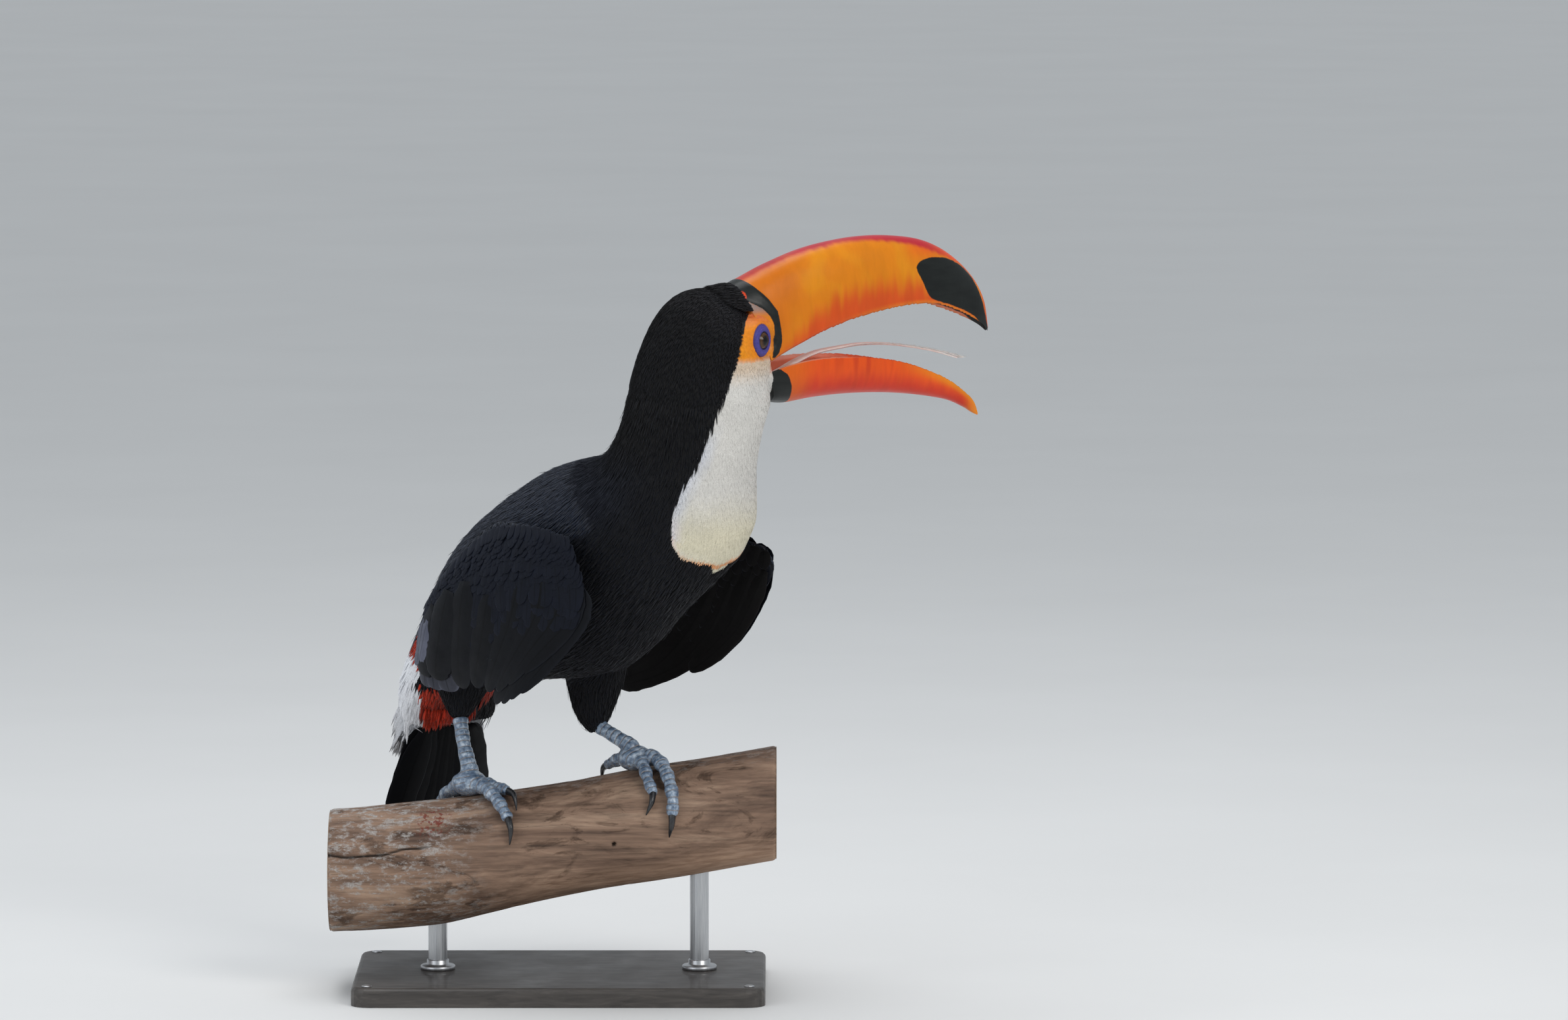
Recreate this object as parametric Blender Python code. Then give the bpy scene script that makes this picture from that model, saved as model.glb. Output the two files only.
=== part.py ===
"""A toco toucan standing on a cut length of branch, held by a plain display stand.

Metres, +Z up, the viewer's side is -Y. The origin is the middle of the stand's underside.
Section tables are written in millimetres and angles in degrees.
"""
import math

import bmesh
import bpy
from mathutils import Vector

MM = 0.001
GAP = 0.3 * MM                    # clearance between neighbouring solids

BASE_LENGTH = 0.260
BASE_DEPTH = 0.160
BASE_THICK = 0.012
BASE_EDGE = 0.003
ROD_RADIUS = 0.006
ROD_LEFT_X = -0.078
ROD_RIGHT_X = 0.088

HEAD_YAW = 33.0                   # the bill points right and away from the viewer
BILL_ROOT = (0.105, -0.040)       # where the culmen meets the forehead, seen from above
EYE_RADIUS = 0.0075
EYE_FORWARD = 0.0074              # eye centre ahead of the culmen's root
EYE_ASIDE = 0.0180                # eye centre from the head's middle plane
EYE_HEIGHT = 0.4165

# middle line of the branch: x, height, radius
PERCH = [(-146, 75.3, 38.9), (-121, 76.8, 39.3), (-96, 79.0, 39.7), (-72, 81.6, 39.6),
         (-45, 86.6, 38.2), (-21, 91.1, 36.9), (0, 95.0, 36.2), (26, 99.9, 36.0),
         (46, 103.4, 36.4), (67, 106.7, 36.6), (88, 110.0, 36.4), (112, 114.2, 36.3),
         (137, 118.6, 36.3)]

# body sections from the tail coverts to the face:
# x, y, z, heading, pitch, up, down, half width, how much narrower at the top
BODY = [
    (-73, 72, 160, -54, 76, 7, 7, 36, 0.0),
    (-73.5, 70, 172, -54, 72, 15, 12, 38, 0.0),
    (-72, 66, 188, -52, 68, 24, 20, 37, 0.0),
    (-63, 56, 211, -46, 52, 29, 34, 36, 0.0),
    (-45, 38, 231, -42, 38, 46, 46, 43, 0.05),
    (-24, 19, 246, -41, 30, 59, 57, 48, 0.08),
    (15, -13, 265, -40, 29, 71, 66, 51, 0.10),
    (44, -37, 292, -40, 42, 63, 60, 51, 0.05),
    (73, -56, 318, -36, 60, 55, 58, 50, 0.0),
    (80, -58, 345, -22, 76, 46.5, 47, 47, 0.0),
    (85, -58, 366, 2, 84, 45, 45.5, 45, 0.0),
    (89.5, -54.5, 382, 21, 80, 46.5, 46, 42, 0.0),
    (92.8, -49, 398, 32, 67, 46.5, 46, 38, 0.03),
    (97.0, -45.2, 410, 33, 52.5, 45.5, 46, 34, 0.08),
    (103.7, -40.8, 416.5, 33, 41, 43.2, 43, 30, 0.14),
    (111.3, -35.9, 416, 33, 31, 40.2, 40.5, 25.5, 0.20),
    (119.7, -30.5, 413.5, 33, 22.5, 40.5, 40.5, 21, 0.24)]
NECK_START = 8.25                 # places along BODY where one part ends and the next begins
HEAD_START = 11.2
FACE = 16.0
TRUNK_STEPS = 18

# upper bill: culmen forward, culmen height, cutting edge forward, its height, half width
UPPER = [
    (2.4, 451.2, 21.8, 403.3, 19.8),
    (13, 455.6, 30, 407.6, 20.4),
    (31, 463.0, 42, 412.8, 20.0),
    (58, 471.5, 62, 420.2, 19.0),
    (86, 476.2, 85, 426.6, 17.6),
    (109, 477.5, 107, 430.6, 16.2),
    (129, 476.3, 127, 433.0, 14.8),
    (145, 473.6, 143, 433.4, 13.2),
    (159, 468.4, 156, 431.8, 11.4),
    (171, 461.2, 168, 428.2, 9.4),
    (181.5, 452.6, 178, 424.4, 7.2),
    (190, 442.6, 187, 420.6, 5.0),
    (195.6, 431.2, 193.4, 416.8, 2.9),
    (198.4, 416.0, 197.6, 412.9, 1.0)]

# lower bill: cutting edge forward and height, keel forward and height, half width
LOWER = [
    (24.6, 397.0, 33.4, 375.4, 18.6),
    (38, 400.4, 42, 375.0, 18.4),
    (60, 403.2, 62, 377.2, 17.4),
    (84, 403.0, 86, 378.3, 15.8),
    (106, 401.0, 110, 377.9, 14.2),
    (127, 397.0, 132, 376.2, 12.4),
    (149, 390.0, 152, 373.4, 10.0),
    (165, 383.2, 168, 370.0, 7.6),
    (178, 375.2, 179.5, 365.2, 5.0),
    (186, 368.6, 186.4, 361.2, 2.9),
    (190.4, 361.0, 190.6, 359.4, 1.0)]

# tongue: forward, height, half width, half thickness
TONGUE = [(29, 390, 6.0, 2.2), (41, 395, 5.8, 1.9), (52, 400.2, 5.2, 1.6), (67, 405.2, 4.4, 1.3),
          (84, 407.6, 3.9, 1.1), (101, 409.0, 3.5, 1.0), (119, 408.4, 3.1, 0.9),
          (138, 405.9, 2.6, 0.8), (157, 402.1, 2.0, 0.7), (175, 396.8, 1.0, 0.5)]

# outer face of the near wing, rows from its top edge down, columns from its front edge back
NEAR_WING = [
    [(4, -82, 302), (-18, -55, 307), (-42, -19, 304), (-64, -3, 283), (-80, 8, 259), (-88, 42, 242)],
    [(12, -96, 280), (-12, -76, 284), (-42, -43, 278), (-66, -17, 260), (-82, 4, 240), (-91, 32, 226)],
    [(16, -102, 258), (-10, -84, 258), (-41, -53, 252), (-66, -22, 237), (-82, 1, 221), (-91, 24, 211)],
    [(10, -98, 235), (-13, -83, 231), (-40, -55, 223), (-65, -22, 209), (-82, 0, 205), (-91, 20, 201)],
    [(-8, -87, 205), (-25, -75, 197), (-41, -50, 190), (-61, -20, 191), (-80, 0, 191), (-90, 16, 192)]]
# inner face of the far wing, rows from the shoulder to the tips, columns from the back down
FAR_WING = [
    [(64, -5, 331), (94, 6, 306), (112, 5, 291), (131, 4, 283)],
    [(38, 19, 326), (72, 27, 300), (105, 18, 281), (137, 5, 267)],
    [(14, 41, 310), (46, 53, 281), (88, 37, 257), (130, 17, 247)],
    [(-12, 63, 288), (22, 75, 258), (68, 58, 230), (116, 35, 223)],
    [(-31, 81, 264), (0, 94, 234), (44, 80, 206), (90, 56, 199)],
    [(-42, 98, 245), (-16, 106, 219), (22, 98, 196), (66, 72, 188)],
    [(-52, 106, 232), (-32, 114, 210), (4, 110, 193), (41, 90, 181)]]
WING_THICK = 0.009
WING_TIP_THICK = 0.0035

# tail: middle x, y, z and half width, from the coverts to the tip
TAIL = [(-73.3, 72.4, 158.6, 35), (-76, 79, 140, 40), (-80, 88, 114, 44), (-85, 97, 86, 46),
        (-89, 104, 62, 45), (-91, 107, 50, 37)]
TAIL_YAW = -54.0
TAIL_THICK = 0.0080
TAIL_TIP_THICK = 0.0040

# legs: x, y, z, radius
THIGH_RIGHT = [(-61, 32, 228, 25), (-62, 28, 206, 24), (-63, 24, 190, 19), (-64, 19, 176, 10.5),
               (-64, 17, 168.5, 6.4)]
THIGH_LEFT = [(20, 22, 224, 25), (22, 22, 203, 22), (21, 19, 185, 17.5), (21.5, 16, 171, 12.5),
              (25, 14, 162.5, 7)]
TARSUS_RIGHT = [(-64, 17.2, 170, 5.0), (-61.5, 10, 155, 4.6), (-58, 3, 141, 5.6), (-57, 1, 135, 6.2)]
TARSUS_LEFT = [(25, 14, 165, 5.0), (34, 7.5, 160.2, 4.7), (43, 2.5, 155, 5.6), (46.5, 0.5, 151, 6.2)]

# toes over the round of the branch: x, angle towards the viewer, height over the bark, radius
TOES_RIGHT = [
    [(-57, -2, 7.5, 5.2), (-49, 10, 6.4, 5.0), (-39, 34, 4.6, 4.3), (-33, 52, 4.0, 3.7)],
    [(-55, -2, 7.5, 4.8), (-47, 5, 6.6, 4.4), (-40, 13, 5.4, 3.9), (-34, 20, 4.6, 3.5)],
    [(-58, -4, 7.5, 5.2), (-68, -16, 5.6, 4.8), (-75, -34, 4.6, 4.2), (-77, -54, 4.0, 3.7)],
    [(-57, -6, 7.0, 4.8), (-60, -20, 5.2, 4.2), (-60, -38, 4.2, 3.6)]]
CLAWS_RIGHT = [
    [(-32.5, 53.5, 4.2, 2.9), (-30.5, 64, 5.0, 2.3), (-30.5, 72, 3.4, 1.3), (-31, 78, 1.2, 0.5)],
    [(-33, 21.5, 4.7, 2.7), (-29, 30, 5.6, 2.1), (-27.5, 38, 3.6, 1.2), (-27, 44, 1.2, 0.5)],
    [(-77.3, -55.5, 4.2, 2.8), (-77.5, -65, 4.8, 2.2), (-77, -73, 3.2, 1.3), (-76.5, -79, 1.2, 0.5)],
    [(-60, -39.5, 4.4, 2.6), (-59.5, -48, 4.8, 2.0), (-59, -55, 3.2, 1.2), (-58.5, -60, 1.2, 0.5)]]
TOES_LEFT = [
    [(48, 0, 8.0, 5.6), (60, 12, 6.6, 5.1), (67, 33, 4.8, 4.4), (71.5, 60, 4.4, 4.1), (71.5, 75, 4.0, 3.7)],
    [(47, 0, 7.5, 4.8), (52, 16, 6.0, 4.4), (56, 40, 4.4, 3.8), (59, 53, 3.9, 3.4)],
    [(45, -2, 8.0, 4.8), (37, -10, 7.6, 4.2), (31, -17, 6.6, 3.8)],
    [(48, -6, 7.5, 5.2), (52, -22, 5.4, 4.6), (53, -42, 4.5, 4.1), (53, -60, 4.0, 3.7)]]
CLAWS_LEFT = [
    [(71.4, 76.5, 4.2, 3.0), (71, 86, 4.6, 2.3), (70, 93, 3.0, 1.3), (69.5, 98, 1.2, 0.5)],
    [(59.1, 54.5, 4.1, 2.7), (58.5, 63, 4.6, 2.1), (56.5, 69, 3.2, 1.2), (55, 73, 1.2, 0.5)],
    [(30.2, -18, 6.6, 2.9), (27, -25, 6.4, 2.2), (26, -33, 4.2, 1.3), (26, -40, 1.4, 0.5)],
    [(53, -61.5, 4.2, 2.8), (52.5, -71, 4.8, 2.2), (52, -79, 3.2, 1.3), (51.5, -85, 1.2, 0.5)]]
FOOT_PAD = (0.0115, 0.0105, 0.0082)


def clear_scene():
    for ob in list(bpy.data.objects):
        bpy.data.objects.remove(ob, do_unlink=True)


def material(name, colour, rough, metal=0.0):
    mat = bpy.data.materials.new(name)
    mat.use_nodes = True
    node = mat.node_tree.nodes["Principled BSDF"]
    node.inputs["Base Color"].default_value = (*colour, 1.0)
    node.inputs["Roughness"].default_value = rough
    node.inputs["Metallic"].default_value = metal
    return mat


def body_from(name, verts, faces, mat, smooth=True):
    """One closed mesh object, its faces turned outwards."""
    bm = bmesh.new()
    points = [bm.verts.new(v) for v in verts]
    for face in faces:
        bm.faces.new([points[i] for i in face])
    bmesh.ops.recalc_face_normals(bm, faces=bm.faces)
    if bm.calc_volume(signed=True) < 0.0:
        bmesh.ops.reverse_faces(bm, faces=bm.faces)
    for face in bm.faces:
        face.smooth = smooth
    mesh = bpy.data.meshes.new(name)
    bm.to_mesh(mesh)
    bm.free()
    ob = bpy.data.objects.new(name, mesh)
    bpy.context.scene.collection.objects.link(ob)
    if mat:
        mesh.materials.append(mat)
    return ob


def between(rows, t):
    """The row at place t of a table, on a smooth curve through its rows."""
    last = len(rows) - 1
    i = min(int(t), last - 1)
    u = t - i
    p0, p1, p2, p3 = rows[max(i - 1, 0)], rows[i], rows[i + 1], rows[min(i + 2, last)]
    out = []
    for a, b, c, d in zip(p0, p1, p2, p3):
        m1 = 0.5 * (c - a)
        m2 = 0.5 * (d - b)
        out.append((2 * u**3 - 3 * u**2 + 1) * b + (u**3 - 2 * u**2 + u) * m1
                   + (3 * u**2 - 2 * u**3) * c + (u**3 - u**2) * m2)
    return out


def places(start, end, count):
    return [start + (end - start) * i / count for i in range(count + 1)]


def loft(name, rings, mat):
    """Closed body through rings of equal length, capped at both ends."""
    n = len(rings[0])
    verts = [p for ring in rings for p in ring]
    faces = []
    for i in range(len(rings) - 1):
        for j in range(n):
            k = (j + 1) % n
            faces.append((i * n + j, i * n + k, (i + 1) * n + k, (i + 1) * n + j))
    faces.append(tuple(range(n)))
    faces.append(tuple(range((len(rings) - 1) * n, len(rings) * n)))
    return body_from(name, verts, faces, mat)


def cut(ob, tool, operation="DIFFERENCE"):
    """Applies an exact Boolean of tool to ob, then drops the tool."""
    mod = ob.modifiers.new("cut", "BOOLEAN")
    mod.operation = operation
    mod.solver = "EXACT"
    mod.object = tool
    deps = bpy.context.evaluated_depsgraph_get()
    mesh = bpy.data.meshes.new_from_object(ob.evaluated_get(deps))
    ob.modifiers.clear()
    old = ob.data
    ob.data = mesh
    bpy.data.meshes.remove(old)
    bpy.data.objects.remove(tool, do_unlink=True)
    for poly in ob.data.polygons:
        poly.use_smooth = True


def body_ring(t, count=28, grow=0.0, shift=0.0):
    """Egg-shaped section of the body at place t, moved along the body by shift."""
    x, y, z, heading, pitch, up, down, side, narrow = between(BODY, t)
    h, p = math.radians(heading), math.radians(pitch)
    along = Vector((math.cos(p) * math.cos(h), math.cos(p) * math.sin(h), math.sin(p)))
    top = Vector((-math.sin(p) * math.cos(h), -math.sin(p) * math.sin(h), math.cos(p)))
    left = Vector((-math.sin(h), math.cos(h), 0.0))
    centre = Vector((x, y, z)) * MM + along * shift
    ring = []
    for i in range(count):
        a = 2 * math.pi * i / count
        c, s = math.cos(a), math.sin(a)
        rise = (up if c > 0 else down) * MM + grow
        across = (side * MM + grow) * (1.0 - narrow * c)
        ring.append(centre + top * (rise * c) + left * (across * s))
    return ring


def flesh(name, start, end, steps, mat, grow=0.0):
    """Part of the body between two places, held back from its neighbours by half a gap."""
    rings = []
    for i, t in enumerate(places(start, end, steps)):
        shift = 0.0
        if not grow and i == 0:
            shift = 0.5 * GAP
        if not grow and i == steps:
            shift = -0.5 * GAP
        rings.append(body_ring(t, grow=grow, shift=shift))
    return loft(name, rings, mat)


def head_point(forward, aside, height):
    """World place of a point given in the head's own frame, aside being to the bird's right."""
    a = math.radians(HEAD_YAW)
    x = BILL_ROOT[0] + forward * math.cos(a) + aside * math.sin(a)
    y = BILL_ROOT[1] + forward * math.sin(a) - aside * math.cos(a)
    return Vector((x, y, height))


def bill_ring(row, is_upper, first):
    """Section of one half of the bill: a rounded outside and a hollowed inside."""
    f1, h1, f2, h2, half = [v * MM for v in row]
    outside, inside = ((f1, h1), (f2, h2)) if is_upper else ((f2, h2), (f1, h1))
    if first:
        outside = (outside[0] + GAP, outside[1])
        inside = (inside[0] + GAP, inside[1])
    deep = (0.20 if is_upper else 0.60) * abs(h1 - h2)
    ring = []
    for i in range(13):
        a = math.pi * (i / 12.0 - 0.5)
        across = math.sin(a) * (abs(math.sin(a)) + 1e-9) ** -0.16
        rise = math.cos(a) ** 0.72 if abs(a) < 1.5707 else 0.0
        f = inside[0] + (outside[0] - inside[0]) * rise
        h = inside[1] + (outside[1] - inside[1]) * rise
        ring.append(head_point(f, half * across, h))
    for i in range(1, 6):
        a = math.pi * (0.5 - i / 6.0)
        across = 0.86 * half * math.sin(a)
        rise = deep / abs(h1 - h2) * math.cos(a)
        f = inside[0] + (outside[0] - inside[0]) * rise
        h = inside[1] + (outside[1] - inside[1]) * rise
        ring.append(head_point(f, across, h))
    return ring


def bill_half(name, table, is_upper, steps, mat):
    rings = []
    for i, t in enumerate(places(0.0, len(table) - 1.0, steps)):
        rings.append(bill_ring(between(table, t), is_upper, i == 0))
    return loft(name, rings, mat)


def tongue(mat):
    rings = []
    for t in places(0.0, len(TONGUE) - 1.0, 12):
        f, h, half, thick = [v * MM for v in between(TONGUE, t)]
        ring = []
        for i in range(8):
            a = 2 * math.pi * i / 8
            ring.append(head_point(f, half * math.cos(a), h + thick * math.sin(a)))
        rings.append(ring)
    return loft("tongue", rings, mat)


def ball(name, centre, radii, mat, segments=16, rings=9):
    bm = bmesh.new()
    bmesh.ops.create_uvsphere(bm, u_segments=segments, v_segments=rings, radius=1.0)
    for v in bm.verts:
        v.co = Vector((v.co.x * radii[0], v.co.y * radii[1], v.co.z * radii[2])) + centre
    for face in bm.faces:
        face.smooth = True
    mesh = bpy.data.meshes.new(name)
    bm.to_mesh(mesh)
    bm.free()
    ob = bpy.data.objects.new(name, mesh)
    bpy.context.scene.collection.objects.link(ob)
    if mat:
        mesh.materials.append(mat)
    return ob


def eye_centre(side):
    return head_point(EYE_FORWARD, side * EYE_ASIDE, EYE_HEIGHT)


def tube(name, points, mat, count=8):
    """Round tube along world points, each with its own radius, its sections kept from twisting."""
    rings = []
    side = None
    for i, (p, r) in enumerate(points):
        before = points[max(i - 1, 0)][0]
        after = points[min(i + 1, len(points) - 1)][0]
        along = (after - before).normalized()
        if side is None:
            side = along.orthogonal().normalized()
        side = (side - along * side.dot(along)).normalized()
        other = along.cross(side)
        ring = []
        for j in range(count):
            a = 2 * math.pi * j / count
            ring.append(p + side * (r * math.cos(a)) + other * (r * math.sin(a)))
        rings.append(ring)
    return loft(name, rings, mat)


def smooth_points(rows, steps):
    out = []
    for t in places(0.0, len(rows) - 1.0, steps):
        x, y, z, r = between(rows, t)
        out.append((Vector((x, y, z)) * MM, r * MM))
    return out


def perch_at(x):
    """Height of the branch's middle line and its radius at x, in millimetres."""
    for (x0, z0, r0), (x1, z1, r1) in zip(PERCH, PERCH[1:]):
        if x <= x1:
            u = (x - x0) / (x1 - x0)
            return z0 + (z1 - z0) * u, r0 + (r1 - r0) * u
    return PERCH[-1][1], PERCH[-1][2]


def over_perch(rows, steps):
    """World points of a toe or claw given over the round of the branch."""
    out = []
    for t in places(0.0, len(rows) - 1.0, steps):
        x, angle, height, radius = between(rows, t)
        z, r = perch_at(x)
        a = math.radians(angle)
        point = Vector((x, -(r + height) * math.sin(a), z + (r + height) * math.cos(a)))
        out.append((point * MM, radius * MM))
    return out


def perch(name, mat, grow=0.0, trim=0.0):
    rings = []
    count = 20
    for t in places(0.0, len(PERCH) - 1.0, 14):
        x, z, r = between(PERCH, t)
        end = 1.0 if t > 0 else -1.0
        over = trim * end if t in (0.0, len(PERCH) - 1.0) else 0.0
        ring = []
        for i in range(count):
            a = 2 * math.pi * i / count
            rad = r * MM + grow
            ring.append(Vector((x * MM + over, rad * math.sin(a), z * MM + rad * math.cos(a))))
        rings.append(ring)
    return loft(name, rings, mat)


def foot(name, tarsus, toes, pad, mat):
    """Shank, pad and four toes in one body, resting just off the bark."""
    ob = tube(name, smooth_points(tarsus, 6), mat, count=10)
    cut(ob, ball("pad", Vector(pad), FOOT_PAD, None, 14, 8), "UNION")
    for rows in toes:
        cut(ob, tube("toe", over_perch(rows, 2 * (len(rows) - 1)), None), "UNION")
    cut(ob, perch("bark", None, grow=GAP, trim=0.002))
    return ob


def claw(name, rows, mat):
    return tube(name, over_perch(rows, 5), mat, count=7)


def wing_patch(grid, nu, nv):
    """World points of a wing's outer face, nu down by nv across."""
    out = []
    for t in places(0.0, len(grid) - 1.0, nu):
        columns = [between([row[j] for row in grid], t) for j in range(len(grid[0]))]
        line = []
        for s in places(0.0, len(columns) - 1.0, nv):
            line.append(Vector(between(columns, s)) * MM)
        out.append(line)
    return out


def wing(name, grid, inward, mat, nu=9, nv=10):
    """Curved slab behind the outer face, thick at the shoulder and thin at the tips."""
    outer = wing_patch(grid, nu, nv)
    verts = [p for line in outer for p in line]
    m = nv + 1
    for i in range(nu + 1):
        for j in range(nv + 1):
            a = outer[min(i + 1, nu)][j] - outer[max(i - 1, 0)][j]
            b = outer[i][min(j + 1, nv)] - outer[i][max(j - 1, 0)]
            normal = a.cross(b).normalized()
            if normal.dot(inward) < 0:
                normal = -normal
            edge = min(i, nu - i, 2) * min(j, nv - j, 2) / 4.0
            down = i / nu
            full = WING_THICK * (1 - down) + WING_TIP_THICK * down
            thick = WING_TIP_THICK + (full - WING_TIP_THICK) * edge
            verts.append(outer[i][j] + normal * thick)
    half = (nu + 1) * m
    faces = []
    for i in range(nu):
        for j in range(nv):
            quad = (i * m + j, i * m + j + 1, (i + 1) * m + j + 1, (i + 1) * m + j)
            faces.append(quad)
            faces.append(tuple(half + k for k in reversed(quad)))
    rim = [j for j in range(m)] + [i * m + nv for i in range(1, nu + 1)]
    rim += [nu * m + j for j in range(nv - 1, -1, -1)] + [i * m for i in range(nu - 1, 0, -1)]
    for a, b in zip(rim, rim[1:] + rim[:1]):
        faces.append((a, b, half + b, half + a))
    return body_from(name, verts, faces, mat)


def tail(mat):
    """Long stepped fan hanging behind the branch."""
    yaw = math.radians(TAIL_YAW)
    left = Vector((-math.sin(yaw), math.cos(yaw), 0.0))
    front = Vector((math.cos(yaw), math.sin(yaw), 0.0))
    rings = []
    for t in places(0.0, len(TAIL) - 1.0, 8):
        x, y, z, half = between(TAIL, t)
        u = t / (len(TAIL) - 1.0)
        thick = TAIL_THICK * (1 - u) + TAIL_TIP_THICK * u
        centre = Vector((x, y, z)) * MM
        ring = []
        for i in range(16):
            a = 2 * math.pi * i / 16
            c, s = math.cos(a), math.sin(a)
            across = half * MM * math.copysign(abs(c) ** 0.6, c)
            bow = -0.004 * c * c
            ring.append(centre + left * across + front * (0.5 * thick * s + bow))
        rings.append(ring)
    return loft("tail", rings, mat)


def stand_base(mat):
    bm = bmesh.new()
    bmesh.ops.create_cube(bm, size=1.0)
    for v in bm.verts:
        v.co = Vector((v.co.x * BASE_LENGTH, v.co.y * BASE_DEPTH, (v.co.z + 0.5) * BASE_THICK))
    uprights = [e for e in bm.edges if abs(e.verts[0].co.z - e.verts[1].co.z) > 0.5 * BASE_THICK]
    bmesh.ops.bevel(bm, geom=uprights, offset=0.012, offset_type="OFFSET", segments=5,
                    profile=0.5, affect="EDGES", material=-1)
    rim = [e for e in bm.edges if min(v.co.z for v in e.verts) > BASE_THICK - 1e-6]
    rim = [e for e in rim if len(e.link_faces) == 2 and abs(e.calc_face_angle(0.0)) > 0.5]
    bmesh.ops.bevel(bm, geom=rim, offset=BASE_EDGE, offset_type="OFFSET", segments=3,
                    profile=0.5, affect="EDGES", material=-1)
    mesh = bpy.data.meshes.new("stand_base")
    bm.to_mesh(mesh)
    bm.free()
    ob = bpy.data.objects.new("stand_base", mesh)
    bpy.context.scene.collection.objects.link(ob)
    mesh.materials.append(mat)
    return ob


def stand_rod(name, x, mat):
    z, r = perch_at(x / MM)
    low = BASE_THICK + GAP
    high = (z - 0.7 * r) * MM
    ends = [(Vector((x, 0.0, low)), ROD_RADIUS), (Vector((x, 0.0, high)), ROD_RADIUS)]
    ob = tube(name, ends, mat, count=20)
    cut(ob, perch("bark", None, grow=GAP))
    return ob


def build():
    clear_scene()
    black = material("black_feather", (0.012, 0.012, 0.014), 0.6)
    white = material("white_feather", (0.80, 0.78, 0.70), 0.7)
    orange = material("orange_bill", (0.72, 0.20, 0.02), 0.3)
    red = material("red_bill", (0.66, 0.09, 0.02), 0.3)
    pink = material("tongue_skin", (0.80, 0.62, 0.58), 0.5)
    eye = material("eye_glass", (0.03, 0.015, 0.01), 0.05)
    leg = material("leg_skin", (0.23, 0.29, 0.36), 0.5)
    horn = material("claw_horn", (0.02, 0.02, 0.02), 0.3)
    wood = material("perch_wood", (0.28, 0.20, 0.15), 0.8)
    board = material("stand_board", (0.035, 0.032, 0.03), 0.5)
    steel = material("stand_steel", (0.55, 0.55, 0.56), 0.35, 1.0)

    flesh("trunk", 0.0, NECK_START, TRUNK_STEPS, black)
    flesh("neck", NECK_START, HEAD_START, 7, white)
    head = flesh("head", HEAD_START, FACE, 10, black)
    for side, name in ((1, "eye_right"), (-1, "eye_left")):
        r = EYE_RADIUS + GAP
        cut(head, ball("socket", eye_centre(side), (r, r, r), None))
        ball(name, eye_centre(side), (EYE_RADIUS,) * 3, eye)

    bill_half("bill_upper", UPPER, True, 18, orange)
    bill_half("bill_lower", LOWER, False, 15, red)
    tongue(pink)

    for name, grid, leg_rows in (("wing_right", NEAR_WING, THIGH_RIGHT),
                                 ("wing_left", FAR_WING, THIGH_LEFT)):
        ob = wing(name, grid, Vector((0.64, 0.77, 0.0)), black)
        cut(ob, flesh("body", 0.0, NECK_START, TRUNK_STEPS, None, grow=GAP))
        wide = [(p, r + GAP) for p, r in smooth_points(leg_rows, 6)]
        cut(ob, tube("leg", wide, None, count=14))
    tail(black)

    for name, rows, shank in (("thigh_right", THIGH_RIGHT, TARSUS_RIGHT),
                              ("thigh_left", THIGH_LEFT, TARSUS_LEFT)):
        ob = tube(name, smooth_points(rows, 6), black, count=14)
        cut(ob, flesh("body", 0.0, NECK_START, TRUNK_STEPS, None, grow=GAP))
        wide = [(p, r + GAP) for p, r in smooth_points(shank, 6)]
        cut(ob, tube("shank", wide, None, count=10))
    foot("foot_right", TARSUS_RIGHT, TOES_RIGHT, (-0.0575, 0.0005, 0.1310), leg)
    foot("foot_left", TARSUS_LEFT, TOES_LEFT, (0.0475, 0.0, 0.1470), leg)
    for i, rows in enumerate(CLAWS_RIGHT):
        claw("claw_right_%d" % (i + 1), rows, horn)
    for i, rows in enumerate(CLAWS_LEFT):
        claw("claw_left_%d" % (i + 1), rows, horn)

    perch("perch", wood)
    stand_base(board)
    stand_rod("stand_rod_left", ROD_LEFT_X, steel)
    stand_rod("stand_rod_right", ROD_RIGHT_X, steel)


build()
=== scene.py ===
# A toco toucan standing on a cut branch over a small display stand.
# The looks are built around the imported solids: one skin, feathers as mesh, bill, eyes, feet, wood.
import math
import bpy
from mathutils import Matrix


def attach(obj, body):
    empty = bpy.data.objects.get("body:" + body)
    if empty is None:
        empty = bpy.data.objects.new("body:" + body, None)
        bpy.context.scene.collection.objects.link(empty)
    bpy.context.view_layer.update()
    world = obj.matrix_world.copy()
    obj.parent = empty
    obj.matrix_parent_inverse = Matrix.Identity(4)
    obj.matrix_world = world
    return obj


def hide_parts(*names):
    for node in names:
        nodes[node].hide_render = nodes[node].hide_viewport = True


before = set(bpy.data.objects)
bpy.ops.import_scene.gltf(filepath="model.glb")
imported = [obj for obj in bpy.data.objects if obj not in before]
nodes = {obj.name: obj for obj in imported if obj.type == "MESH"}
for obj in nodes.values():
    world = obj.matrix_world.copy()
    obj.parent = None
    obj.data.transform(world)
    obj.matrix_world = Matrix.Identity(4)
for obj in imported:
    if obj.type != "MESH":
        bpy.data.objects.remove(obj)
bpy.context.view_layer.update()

from types import SimpleNamespace

import bmesh
import bpy
import numpy as np
from mathutils import Vector, noise
from mathutils.bvhtree import BVHTree
from mathutils.kdtree import KDTree

mm = 0.001
rng = np.random.default_rng(11)


# small helpers for meshes

def objectOf(name, mesh, mat):
    if not mesh.materials:
        mesh.materials.append(mat)
    ob = bpy.data.objects.new(name, mesh)
    bpy.context.scene.collection.objects.link(ob)
    return ob


def meshFrom(name, bm):
    for face in bm.faces:
        face.smooth = True
    mesh = bpy.data.meshes.new(name)
    bm.to_mesh(mesh)
    bm.free()
    return mesh


def objectFrom(name, bm, mat):
    return objectOf(name, meshFrom(name, bm), mat)


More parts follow.
